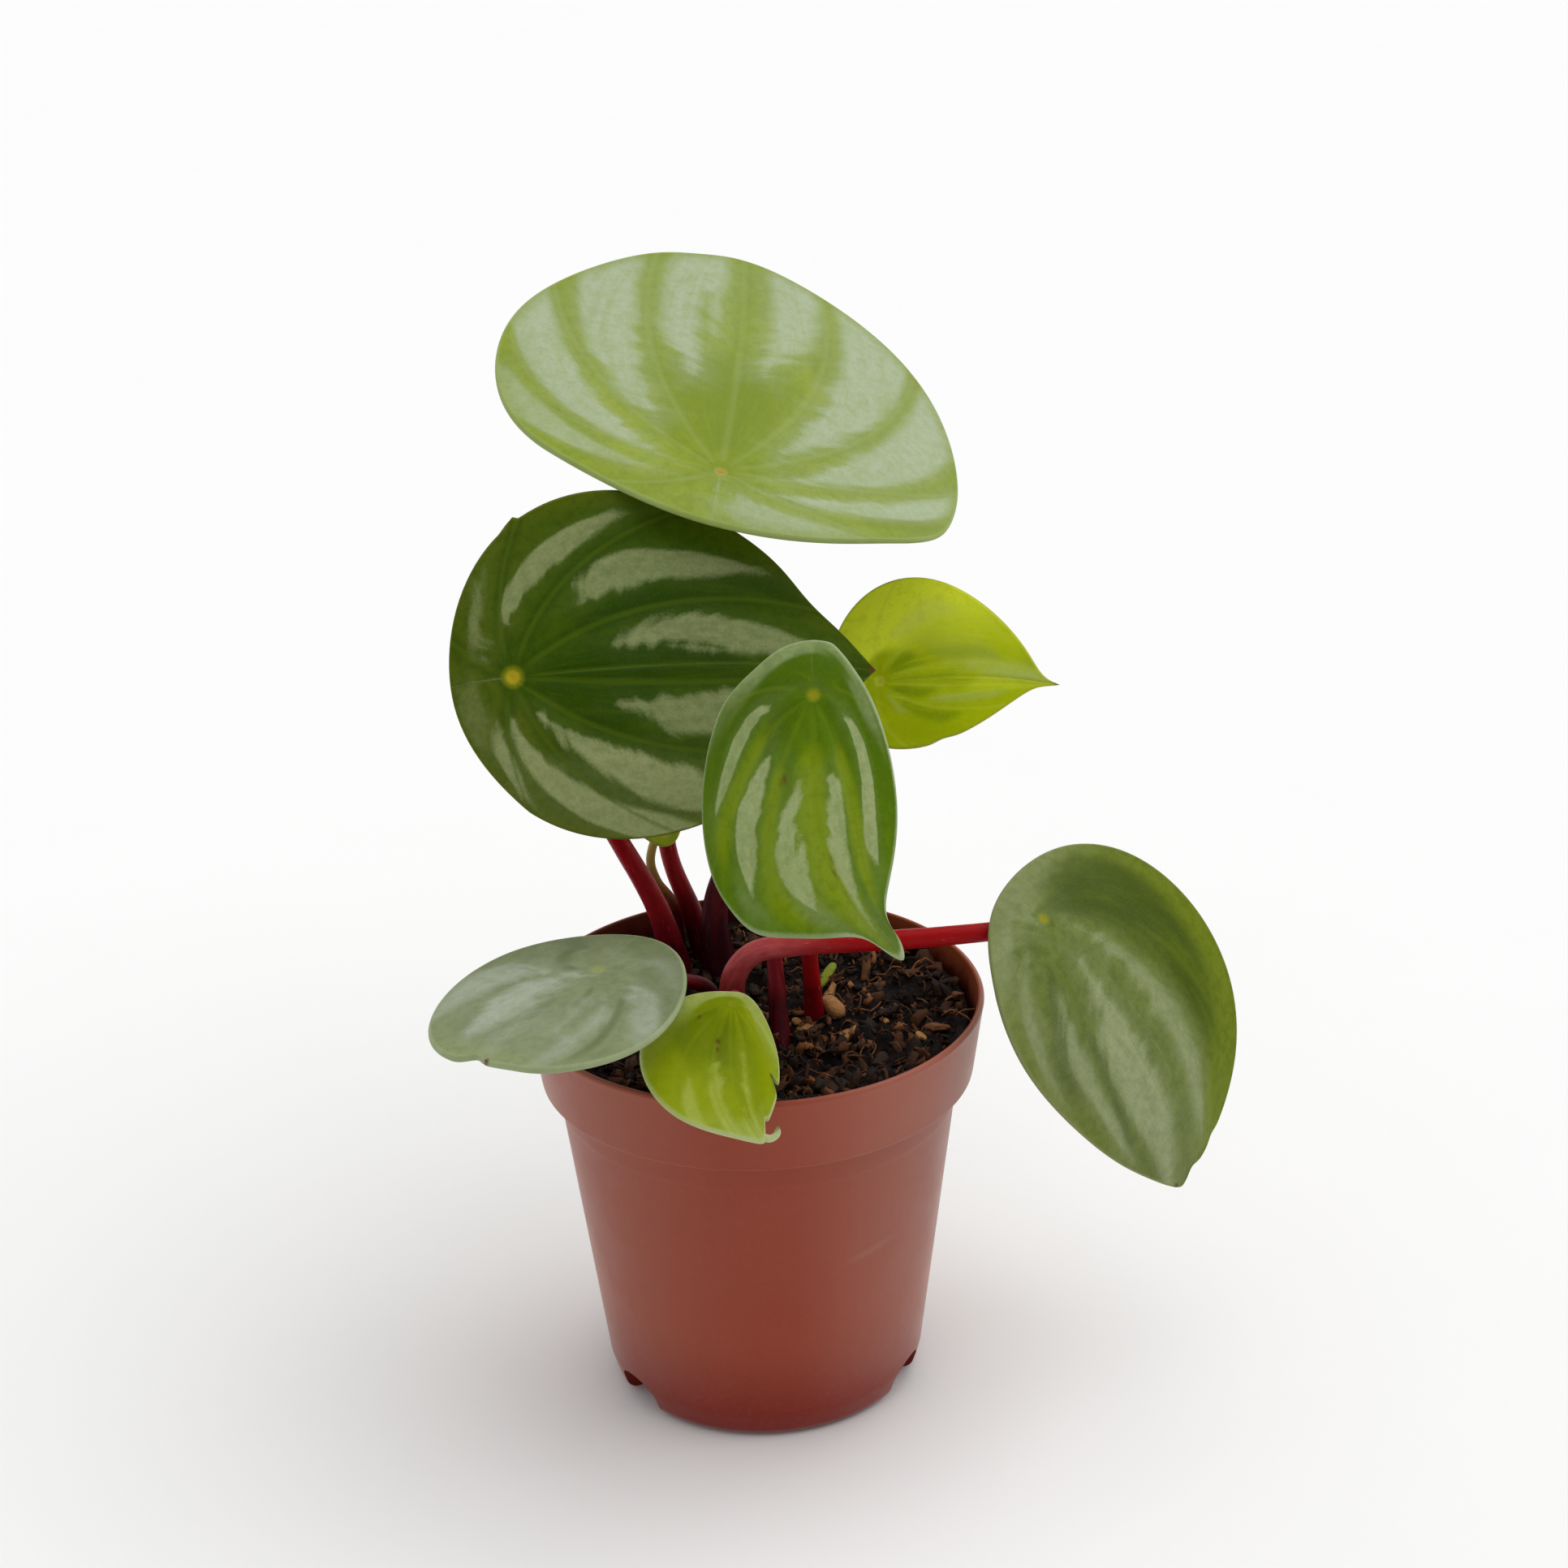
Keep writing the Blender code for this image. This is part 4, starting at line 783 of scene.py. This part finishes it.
def blade_point(leaf, u, v, lift):
    """Mid-blade points above the flat points (u, v)."""
    reach = leaf["tipward"] + leaf["drip"]
    tip_fall, base_fall = np.radians(leaf["bend"])
    fall = np.where(u >= 0.0, tip_fall, base_fall)
    span = np.where(u >= 0.0, reach, leaf["baseward"])
    slope = fall * u / span
    x = span / fall * np.sin(slope)
    z = -span / fall * (1.0 - np.cos(slope))
    v = v + leaf["sickle"] * u * u / reach
    curve = np.where(v >= 0.0, *leaf["cross"])
    across = np.sin(curve * v) / curve
    rise = (1.0 - np.cos(curve * v)) / curve + lift
    twist = math.radians(leaf["twist"]) * unit(u / reach)
    side = across * np.cos(twist) - rise * np.sin(twist)
    rise = across * np.sin(twist) + rise * np.cos(twist)
    local = np.stack([x + rise * np.sin(slope), side, z + rise * np.cos(slope)], -1)
    facing = turn(*np.radians([leaf["heading"], leaf["droop"], leaf["roll"]]))
    return local @ np.array(facing).T + np.array(leaf["at"])


def blade_normal(leaf, u, v, lift):
    step = 0.05
    along = blade_point(leaf, u + step, v, lift) - blade_point(leaf, u - step, v, lift)
    across = blade_point(leaf, u, v + step, lift) - blade_point(leaf, u, v - step, lift)
    normal = np.cross(along, across)
    return normal / np.linalg.norm(normal, axis=-1, keepdims=True)


def hub_normal(leaf):
    """The blade's normal over its petiole."""
    return blade_normal(leaf, *np.zeros((3, 1)))[0]


def vein_turn(rho, phi):
    """Angle of the point rho of the way out along the vein that leaves at phi."""
    return phi - VEIN_CURL * rho ** 1.3 * np.sin(phi)


def turned(phi, middle):
    """Signed angle from middle to phi, the short way round."""
    return (phi - middle + math.pi) % (2.0 * math.pi) - math.pi


def band_field(bands, rho, phi, spread, rim):
    """Depth in mm inside the nearest band, its strength, and coordinates whose
    noise gives the slanting nicks that side veins cut into the bands."""
    depth = np.full(rho.shape, NO_BAND)
    strength = np.zeros(rho.shape)
    nicks = np.zeros(rho.shape + (3,))
    for index, (power, stations) in enumerate(bands):
        at, angles, halves = np.array(stations, float).T
        aside = turned(phi, np.radians(np.interp(rho, at, angles)))
        here = (np.radians(np.interp(rho, at, halves)) - np.abs(aside)) * spread
        here = np.minimum(here, np.minimum(rho - at[0], at[-1] - rho) * rim + 0.3)
        here = here * (1.0 if power > 0.6 else 0.45)
        outward = aside * spread * math.copysign(1.0, angles[0])
        slant = [0.55 * (rho * rim - 0.9 * outward), 0.16 * outward, np.full(rho.shape, 7.0 * index)]
        nearer = here > depth
        strength = np.where(nearer, power, strength)
        nicks = np.where(nearer[..., None], np.stack(slant, -1), nicks)
        depth = np.where(nearer, here, depth)
    return depth, strength, nicks


def soft_patches(items, rho, phi):
    """Sum of soft-edged patches, at most 1."""
    total = np.zeros(rho.shape)
    for inner, outer, half, start, end, power in items:
        along = unit((rho - start) / (end - start))
        aside = turned(phi, np.radians(inner + (outer - inner) * along)) / math.radians(half)
        ends = unit((rho - start) / 0.08 + 0.5) * unit((end - rho) / 0.08 + 0.5)
        total = total + power * np.exp(-np.abs(aside) ** 3) * ends
    return unit(total)


def dry_points(leaf, look, u, v):
    """Small brown scars."""
    total = np.zeros(u.shape)
    for rho, tau, radius in look["scars"]:
        at_u, at_v = flat_point(leaf, np.array(rho), np.array(tau))
        total = total + unit(1.3 - np.hypot(u - at_u, v - at_v) / radius)
    return unit(total)


def blade_grid(leaf, look):
    """Mesh lines that follow the veins, with steps that crowd at the margin.  Gives rho
    and phi of the grid's points and the lengths of their lines."""
    phi = (np.arange(BLADE_LINES) / BLADE_LINES * 2.0 - 1.0) * math.pi
    for angle in np.radians(look["veins"]):
        phi[np.argmin(np.abs(phi - angle))] = angle
    rim = np.hypot(*flat_point(leaf, np.ones_like(phi), vein_turn(1.0, phi)))
    inner = 1.0 - (MARGIN_STEPS[0] + 0.35) / rim
    rows = [inner * (k / BLADE_STEPS) ** 0.9 for k in range(1, BLADE_STEPS + 1)]
    rows += [1.0 - gap / rim for gap in MARGIN_STEPS]
    return np.array(rows), np.broadcast_to(phi, (len(rows), BLADE_LINES)), rim


def vein_spacing(leaf, rho, phi):
    """Millimetres per radian across the veins."""
    step = 0.01
    u0, v0 = flat_point(leaf, rho, vein_turn(rho, phi - step))
    u1, v1 = flat_point(leaf, rho, vein_turn(rho, phi + step))
    return np.hypot(u1 - u0, v1 - v0) / (2.0 * step)


def vein_distance(look, phi, spread):
    """Millimetres to the nearest vein, and the place between two veins from 0 to 1."""
    angles = np.sort(np.radians(look["veins"]))
    ends = np.concatenate([[angles[-1] - 2.0 * math.pi], angles, [angles[0] + 2.0 * math.pi]])
    right = np.searchsorted(ends, phi, side="right").clip(1, len(ends) - 1)
    low, high = ends[right - 1], ends[right]
    return np.minimum(phi - low, high - phi) * spread, (phi - low) / (high - low)


def blade_faces(rows, lines):
    """Faces of a blade, with their material slots: 0 above and at the margin, 1 below."""
    low_hub = 1 + rows * lines

    def top(j, i):
        return 1 + j * lines + i % lines

    def under(j, i):
        return top(j, i) if j == rows - 1 else low_hub + 1 + j * lines + i % lines

    faces = []
    slots = []
    for i in range(lines):
        faces.append((0, top(0, i), top(0, i + 1)))
        faces.append((low_hub, under(0, i + 1), under(0, i)))
        slots += [0, 1]
        for j in range(rows - 1):
            faces.append((top(j, i), top(j + 1, i), top(j + 1, i + 1), top(j, i + 1)))
            faces.append((under(j, i), under(j, i + 1), under(j + 1, i + 1), under(j + 1, i)))
            slots += [0, 1 if j < rows - 4 else 0]
    return faces, slots


def per_point(values, at_hub):
    """The grid's values in the order of the points: hub and rows of the upper face, then
    those of the lower face, which shares the margin's row."""
    hub = np.full((1,) + values.shape[2:], at_hub)
    rows = values.reshape((-1,) + values.shape[2:])
    return np.concatenate([hub, rows, hub, rows[:-BLADE_LINES]])


def build_blade(name, leaf, look):
    rho, phi, rim = blade_grid(leaf, look)
    edge = (1.0 - rho) * rim
    tau = vein_turn(rho, phi)
    u, v = flat_point(leaf, rho, tau)
    reach = np.hypot(u, v)
    size = leaf["tipward"] + leaf["baseward"]
    spread = vein_spacing(leaf, rho, phi)
    distance, between = vein_distance(look, phi, spread)

    # both faces: swollen between the veins, grooved along them, rounded at the margin
    ripen = unit(reach / (0.12 * size)) * unit(edge / (0.06 * size))
    quilt = look["quilt"] * ripen * (np.sin(math.pi * between) ** 2 - 0.4)
    groove = 0.25 * look["quilt"] * hump(distance, 0.016 * size * (1.15 - rho)) * unit(edge / 2.0)
    dimple = 0.30 * hump(reach, 1.1)
    bead = 0.06 * hump(edge - 0.35, 0.3)
    half = BLADE / 2.0 * np.sqrt(1.0 - (1.0 - unit(edge / EDGE_ROUND)) ** 2)
    up = half + (quilt - groove - dimple + bead) * unit(edge / 0.3)
    down = -half + (quilt - 1.8 * groove) * unit(edge / 0.3)

    height, count, phase = leaf["wave"]
    lift = height * rho ** 3 * np.sin(count * tau + phase)
    middle = blade_point(leaf, u, v, lift)
    normal = blade_normal(leaf, u, v, lift)
    upper = middle + normal * up[..., None]
    lower = (middle + normal * down[..., None])[:-1]
    hub_up = hub_normal(leaf)
    verts = np.concatenate([[leaf["at"] + hub_up * (BLADE / 2.0 - HUB_DIMPLE)], upper.reshape(-1, 3),
                            [leaf["at"] - hub_up * BLADE / 2.0], lower.reshape(-1, 3)])
    faces, slots = blade_faces(*rho.shape)

    depth, strength, nicks = band_field(look["bands"], rho, phi, spread, rim)
    if look["gaps"]:
        depth = np.minimum(depth, -band_field(look["gaps"], rho, phi, spread, rim)[0])
    slanted = phi + 0.9 * rho * np.sin(phi)
    grain = [rho * size / 11.0, np.cos(slanted) * size / 9.0, np.sin(slanted) * size / 9.0]
    fields = dict(silver=depth, strength=strength, nicks=nicks, vein=distance, edge=edge, centre=reach,
                  share=rho, scar=dry_points(leaf, look, u, v), grain=np.stack(grain, -1),
                  flat=np.stack([u, v, np.full(u.shape, size)], -1))
    for patch in ("warm", "deep", "pale"):
        fields[patch] = soft_patches(look[patch], rho, phi)
    at_hub = dict(silver=NO_BAND, vein=3.0, edge=20.0)
    fields = {field: per_point(values, at_hub.get(field, 0.0)) for field, values in fields.items()}
    skins = [upper_skin(name + "_upper", look), under_skin(name + "_under", look)]
    obj = piece(name + "_blade", verts, faces, skins, slots, **fields)
    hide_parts(name)


def build_curl():
    """The low front blade's dried tip, drawn out into a small hook."""
    leaf = LEAVES["leaf_low_front"]
    path = [Vector(blade_point(leaf, *np.reshape(p, (3, 1)))[0]) for p in spline(CURL, CURL_STEPS)]
    steps = len(path) - 1
    radii = [0.60 - 0.24 * k / steps for k in range(steps - 2)] + [0.40, 0.34, 0.14]
    verts, faces = tube(path, radii, CURL_SIDES)
    share = np.repeat(np.linspace(0.0, 1.0, steps + 1), CURL_SIDES)
    skin = curl_skin(LOOKS["leaf_low_front"])
    obj = piece("leaf_low_front_curl", verts, faces, [skin], share=share)


# ------------------------------------------------------------------------ petioles

def build_petiole(name, spec, skin):
    """Stalk from inside the soil up to the blade, swollen at both ends."""
    x, y = spec["foot"]
    foot = Vector((x, y, soil_height(x, y)))
    points = [foot] + [Vector(p) for p in spec["via"]]
    if spec["leaf"]:
        leaf = LEAVES[spec["leaf"]]
        normal = Vector(hub_normal(leaf))
        seat = Vector(leaf["at"]) - normal * (BLADE / 2.0 - 0.1)
        points += [seat - normal * (spec["lead"] + 0.4), seat]
    rise = (points[1] - foot).normalized()
    buried = [foot - rise * STALK_DEPTH, foot - rise * STALK_DEPTH / 2.0]
    path = buried + spline(points, STALK_STEPS)
    run = np.cumsum([0.0] + [(b - a).length for a, b in zip(path, path[1:])])
    length = run[-1]
    low, high = spec["radius"]
    swell = spec["swell"] * np.exp(-np.maximum(run - STALK_DEPTH, 0.0) / spec["taper"])
    flare = 0.55 * np.exp((run - length) / 0.55) if spec["leaf"] else -0.9 * np.exp((run - length) / 0.5)
    ripple = [0.035 * noise.noise(p * 0.22 + Vector((low * 9.0, 0.0, 0.0))) for p in path]
    radii = (low + (high - low) * run / length) * (1.0 + swell + flare + ripple)
    verts, faces = tube(path, radii.tolist(), STALK_SIDES)

    run = np.repeat(run, STALK_SIDES)
    girth = 1.4 * np.repeat(radii, STALK_SIDES)
    turns = np.tile(2.0 * math.pi * np.arange(STALK_SIDES) / STALK_SIDES, len(path))
    stalk = np.stack([run / 2.6 + low * 31.0, np.cos(turns) * girth, np.sin(turns) * girth], -1)
    above = run - STALK_DEPTH
    # painted shade: the tone falls to 0.3 toward the foot, where the stalks stand in shade
    tone = spec["tone"] * (0.30 + 0.70 * unit((above - 5.0) / 7.0))
    bloom = spec["bloom"] * hump(above - 15.0, 7.0)
    neck = np.exp((run - length) / 1.6) * (0.8 if spec["leaf"] else 0.2)
    if name == "petiole_young":
        neck = unit((run / length - 0.45) / 0.4)
    obj = piece(name + "_stalk", verts, faces, [skin], tone=tone, bloom=bloom, neck=neck, stalk=stalk)
    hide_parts(name)


# ----------------------------------------------------------------------------- pot

def on_body(z, out=0.0):
    """Point of the section on the tapered body, or this far outside it."""
    share = (z - FOOT_HEIGHT) / (COLLAR_FOOT - FOOT_HEIGHT)
    return FOOT_RADIUS + (BODY_TOP_RADIUS - FOOT_RADIUS) * share + out, z


def pot_profile():
    """Section of the pot from the middle of its base, up outside and down inside."""
    slope = (RIM_RADIUS - 0.12 - COLLAR_LOW_RADIUS) / (POT_HEIGHT - COLLAR_FOOT - 2.0)
    inner_low = COLLAR_LOW_RADIUS + slope * 0.3 - WALL
    inner_top = COLLAR_LOW_RADIUS + slope * (POT_HEIGHT - COLLAR_FOOT - 1.1) - WALL
    return [
        (0.0, 0.0), (BASE_RADIUS, 0.0), (BASE_RADIUS + 1.2, 0.9), (FOOT_RADIUS, FOOT_HEIGHT),
        on_body(24.0), on_body(COLLAR_FOOT - 4.3), on_body(COLLAR_FOOT - 3.8, 0.05),
        on_body(COLLAR_FOOT - 0.4), (COLLAR_LOW_RADIUS - 0.06, COLLAR_FOOT),
        (COLLAR_LOW_RADIUS + 0.04, COLLAR_FOOT + 0.35), (RIM_RADIUS - 0.12, POT_HEIGHT - 0.9),
        (RIM_RADIUS, POT_HEIGHT - 0.45), (RIM_RADIUS - 0.25, POT_HEIGHT), (inner_top + 0.1, POT_HEIGHT),
        (inner_top, POT_HEIGHT - 0.6), (inner_low, COLLAR_FOOT + 1.4), on_body(COLLAR_FOOT - 0.2, -WALL),
        (FOOT_RADIUS - WALL, FOOT_HEIGHT + 0.9), (BASE_RADIUS + 0.2 - WALL, FLOOR), (0.0, FLOOR)]


def rounded(profile, radius):
    """The section with its corners rounded by short curves."""
    points = [Vector(profile[0])]
    for a, b, c in zip(profile, profile[1:], profile[2:]):
        a, b, c = Vector(a), Vector(b), Vector(c)
        near = b.lerp(a, min(0.42, radius / (a - b).length))
        far = b.lerp(c, min(0.42, radius / (c - b).length))
        points += [near.lerp(b, t).lerp(b.lerp(far, t), t) for t in (0.0, 0.25, 0.5, 0.75, 1.0)]
    return points + [Vector(profile[-1])]


def revolve(name, profile):
    """Solid turned from a section that starts and ends on the axis."""
    verts = [(0.0, 0.0, profile[0][1])]
    for radius, z in profile[1:-1]:
        verts += ring(radius, z, POT_SIDES)
    verts.append((0.0, 0.0, profile[-1][1]))
    last = len(verts) - 1 - POT_SIDES
    faces = ring_faces(1, len(profile) - 2, POT_SIDES)
    for i in range(POT_SIDES):
        j = (i + 1) % POT_SIDES
        faces += [(0, 1 + j, 1 + i), (len(verts) - 1, last + i, last + j)]
    return mesh_object(name, verts, faces)


def arch_block(azimuth, grow):
    """Block with an arched top that reaches in through the foot."""
    width = ARCH_WIDTH / 2.0 + grow
    height = ARCH_HEIGHT + grow
    outline = [(-width, -2.0), (width, -2.0)]
    for i in range(17):
        a = math.pi * i / 16
        outline.append((width * math.cos(a), height * (0.55 + 0.45 * math.sin(a))))
    facing = Matrix.Rotation(math.radians(azimuth), 3, "Z")
    verts = [facing @ Vector((across, -reach, up))
             for reach in (ARCH_INNER_RADIUS - grow, FOOT_RADIUS + 6.0) for across, up in outline]
    n = len(outline)
    ends = [tuple(range(n)), tuple(range(2 * n - 1, n - 1, -1))]
    return mesh_object("arch", verts, ends + ring_faces(0, 2, n))


def combine(target, other, operation):
    """Boolean of two meshes, which uses up the second one."""
    modifier = target.modifiers.new(operation, "BOOLEAN")
    modifier.operation = operation
    modifier.solver = "EXACT"
    modifier.object = other
    depsgraph = bpy.context.evaluated_depsgraph_get()
    mesh = bpy.data.meshes.new_from_object(target.evaluated_get(depsgraph))
    target.modifiers.clear()
    target.data = mesh
    bpy.data.objects.remove(other, do_unlink=True)


def build_pot():
    """Turned wall with rounded edges, and the drain arches in its foot."""
    pot = revolve("pot_shell", rounded(pot_profile(), CORNER))
    for azimuth in ARCH_AZIMUTHS:
        shell = arch_block(azimuth, WALL)
        inside = revolve("inside", [(0.0, 0.4), (BASE_RADIUS + 0.4, 0.4), (FOOT_RADIUS - 0.3, FOOT_HEIGHT),
                                    on_body(12.0, -0.3), (0.0, 12.0)])
        combine(shell, inside, "INTERSECT")
        combine(pot, shell, "UNION")
    for azimuth in ARCH_AZIMUTHS:
        combine(pot, arch_block(azimuth, 0.0), "DIFFERENCE")
    pot.data.materials.clear()
    pot.data.materials.append(pot_skin())
    pot.data.materials.append(lining_skin())
    for face in pot.data.polygons:
        inward = face.normal.x * face.center.x + face.normal.y * face.center.y < 0.0
        face.material_index = 1 if inward and face.center.z > LINING_FROM * MM else 0
    pot.data.shade_smooth()
    pot.data.set_sharp_from_angle(angle=math.radians(SHARP_FROM))
    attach(pot, "root")
    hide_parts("pot")


# ---------------------------------------------------------------------------- soil

def soil_height(x, y):
    """Height of the solid's soil: gentle lumps and the mound at the plant's crown."""
    fade = max(0.0, 1.0 - (math.hypot(x, y) / 28.0) ** 4)
    lumps = (math.sin(x * 0.62 + 1.3) * math.cos(y * 0.57 - 0.4)
             + 0.7 * math.sin(x * 1.15 - y * 0.83 + 2.1)
             + 0.5 * math.cos(x * 1.63 + y * 1.41))
    mound = CROWN_MOUND * math.exp(-((x - CROWN_AT[0]) ** 2 + (y - CROWN_AT[1]) ** 2) / 45.0)
    return SOIL_LEVEL + fade * (SOIL_RELIEF * lumps / 2.2 + mound)


def crumbled(x, y):
    """Height of the crumbly surface: soft lumps, clods and fine grains."""
    spot = Vector((x, y, 0.0))
    clods = noise.fractal(spot * 0.42, 0.9, 2.1, 4)
    pits = noise.voronoi(spot * 0.75)[0][0]
    grains = noise.noise(spot * 2.4)
    r = math.hypot(x, y)
    fade = min(1.0, max(0.3, (SOIL_RADIUS - r) / 1.6))
    climb = min(1.0, max(0.0, (r - 19.5) / 7.0))
    bank = SOIL_BANK * climb * climb * (3.0 - 2.0 * climb)
    return soil_height(x, y) + bank + fade * (clods - 0.7 * (pits - 0.35) + 0.2 * grains)


def build_soil():
    """Plug that fills the pot below, with a finely crumbled top."""
    verts = [(0.0, 0.0, crumbled(0.0, 0.0))]
    for j in range(1, SOIL_RINGS + 1):
        level = ring(SOIL_RADIUS * j / SOIL_RINGS, 0.0, SOIL_SIDES, 0.5 * (j % 2))
        verts += [(x, y, crumbled(x, y)) for x, y, _ in level]
    for radius, z in SOIL_BODY:
        verts += ring(radius, z, SOIL_SIDES)
    faces = [(0, 1 + i, 1 + (i + 1) % SOIL_SIDES) for i in range(SOIL_SIDES)]
    for a, b, c, d in ring_faces(1, SOIL_RINGS + len(SOIL_BODY), SOIL_SIDES):
        faces.append((a, d, c, b))
    faces.append(tuple(reversed(range(len(verts) - SOIL_SIDES, len(verts)))))
    obj = piece("soil_peat", verts, faces, [peat_skin()])
    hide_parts("soil")


class Litter:
    """Gathers small chips and fibres into one mesh, each with its own tone."""

    def __init__(self):
        self.verts = []
        self.faces = []
        self.tone = []
        self.fresh = []
        ball = bmesh.new()
        bmesh.ops.create_icosphere(ball, subdivisions=2, radius=1.0)
        self.ball = [v.co.copy() for v in ball.verts]
        self.ball_faces = [tuple(v.index for v in f.verts) for f in ball.faces]
        ball.free()

    def add(self, verts, faces, tone, fresh=0.0):
        start = len(self.verts)
        self.verts += verts
        self.faces += [tuple(start + i for i in face) for face in faces]
        self.tone += [tone] * len(verts)
        self.fresh += [fresh] * len(verts)

    def chip(self, x, y, lift, size, facing, tone, jag, bend=0.0, seed=0.0, fresh=0.0):
        """Flat broken chip with a rough outline, this far above the soil."""
        centre = Vector((x, y, crumbled(x, y) + lift))
        verts = []
        for p in self.ball:
            rough = 1.0 + jag * noise.noise(p * 2.1 + Vector((seed, 0.0, seed * 0.7)))
            block = [math.copysign(abs(c) ** 0.7, c) for c in p]
            q = Vector([c * s for c, s in zip(block, size)]) * rough
            q.z += bend * q.x * q.x / size[0]
            verts.append(centre + facing @ q)
        self.add(verts, self.ball_faces, tone, fresh)

    def fibre(self, x, y, heading, length, curl, radius, tone):
        """Thin curved root fibre lying on the soil."""
        path = []
        radii = []
        for k in range(FIBRE_STEPS):
            lift = 0.35 + 0.35 * math.sin(math.pi * k / (FIBRE_STEPS - 1))
            path.append(Vector((x, y, crumbled(x, y) + lift)))
            radii.append(radius * (1.0 - 0.5 * k / FIBRE_STEPS))
            heading += curl
            x += math.cos(heading) * length / FIBRE_STEPS
            y += math.sin(heading) * length / FIBRE_STEPS
        verts, faces = tube(path, radii, FIBRE_SIDES)
        self.add(verts, faces, tone)


def build_litter(skin):
    draw = random.Random(LITTER_SEED)
    chips = Litter()

    def place(limit):
        r = limit * math.sqrt(draw.random())
        a = draw.uniform(0.0, 2.0 * math.pi)
        return r * math.cos(a), r * math.sin(a)

    for _ in range(CHIPS):
        x, y = place(CHIP_REACH)
        long = 0.4 + 1.4 * draw.random() ** 2.5
        size = (long, long * draw.uniform(0.25, 0.7), long * draw.uniform(0.12, 0.4))
        dry = math.exp(-((x - 9.0) ** 2 + (y - 1.0) ** 2) / 90.0)
        damp = math.exp(-((x + 1.0) ** 2 + (y - 12.0) ** 2) / 110.0)
        tone = draw.betavariate(1.0, 2.9) * (0.65 + 0.85 * dry) * (1.0 - 0.75 * damp)
        lift = draw.uniform(-0.05, 0.45)
        facing = turn(draw.uniform(0.0, 2.0 * math.pi), draw.gauss(0.0, 0.6), draw.gauss(0.0, 0.6))
        chips.chip(x, y, lift, size, facing, tone, 1.1, draw.uniform(-0.3, 0.3), draw.uniform(0.0, 60.0))
    for _ in range(FIBRES):
        x, y = place(FIBRE_REACH)
        chips.fibre(x, y, draw.uniform(0.0, 6.3), draw.uniform(2.0, 6.0), draw.gauss(0.0, 0.16),
                    draw.uniform(0.08, 0.20), draw.uniform(0.05, 0.6))
    # the few bright bits that stand out: a tan pebble, orange bark and a green scrap
    lay = turn(math.radians(-58.0), math.radians(12.0))
    chips.chip(10.3, 1.6, 1.2, (2.2, 1.2, 1.0), lay, 0.80, 0.10)
    chips.chip(5.4, -0.2, 0.5, (0.75, 0.6, 0.4), lay, 0.8, 0.3)
    chips.chip(21.5, -7.5, 0.5, (1.0, 0.5, 0.4), lay, 0.9, 0.4)
    scrap = turn(math.radians(55.0), math.radians(-25.0))
    chips.chip(9.7, 11.0, 0.7, (2.4, 0.7, 0.45), scrap, 0.9, 0.15, fresh=0.95)
    obj = piece("soil_bark", chips.verts, chips.faces, [skin], tone=chips.tone, fresh=chips.fresh)


# --------------------------------------------------------------------------- stage

def build_stage():
    """White paper floor, and light from all round that is a little weaker in front."""
    floor = mesh_object("floor", ring(PAPER_RADIUS, 0.0, PAPER_SIDES), [tuple(range(PAPER_SIDES))])
    floor.data.materials.append(floor_skin())
    world = bpy.data.worlds.new("studio")
    bpy.context.scene.world = world
    g = Graph(world)
    wall = g.step(g.axes(g.coordinates("Generated"))[1], -0.8, 0.2, 0.45, 0.78)
    background = g.tree.nodes["Background"]
    g.put(background.inputs["Color"], (1.0, 1.0, 1.0))
    g.put(background.inputs["Strength"], wall)


def build_light():
    """One very soft overhead light, a little from the right."""
    lamp = bpy.data.lights.new("soft_light", "SUN")
    lamp.angle = math.radians(LIGHT_SPREAD)
    lamp.energy = LIGHT_ENERGY
    obj = show("soft_light", lamp)
    obj.rotation_euler = Vector(LIGHT_HEADING).to_track_quat("-Z", "Y").to_euler()


def build_camera():
    """Looks down at the plant from the front, a little to the right, slightly tilted."""
    pitch, yaw, roll = (math.radians(a) for a in (CAMERA_PITCH, CAMERA_YAW, CAMERA_ROLL))
    ahead = Vector((math.sin(yaw) * math.cos(pitch), math.cos(yaw) * math.cos(pitch), -math.sin(pitch)))
    level = Vector((math.cos(yaw), -math.sin(yaw), 0.0))
    above = level.cross(ahead)
    right = level * math.cos(roll) - above * math.sin(roll)
    up = level * math.sin(roll) + above * math.cos(roll)
    data = bpy.data.cameras.new("camera")
    data.sensor_width = 36.0
    data.lens = CAMERA_LENS
    data.clip_start = 0.01
    camera = show("camera", data)
    facing = Matrix((right, up, -ahead)).transposed().to_4x4()
    camera.matrix_world = Matrix.Translation(CAMERA_AT) @ facing
    bpy.context.scene.camera = camera


def build_scene():
    for name, leaf in LEAVES.items():
        build_blade(name, leaf, {**PLAIN_LOOK, **LOOKS[name]})
    build_curl()
    skin = petiole_skin()
    for name, spec in PETIOLES.items():
        build_petiole(name, {**PLAIN_PETIOLE, **spec}, skin)
    build_soil()
    build_litter(bark_skin())
    build_pot()
    build_stage()
    build_light()
    build_camera()
    bpy.context.scene.view_settings.view_transform = "Standard"


build_scene()
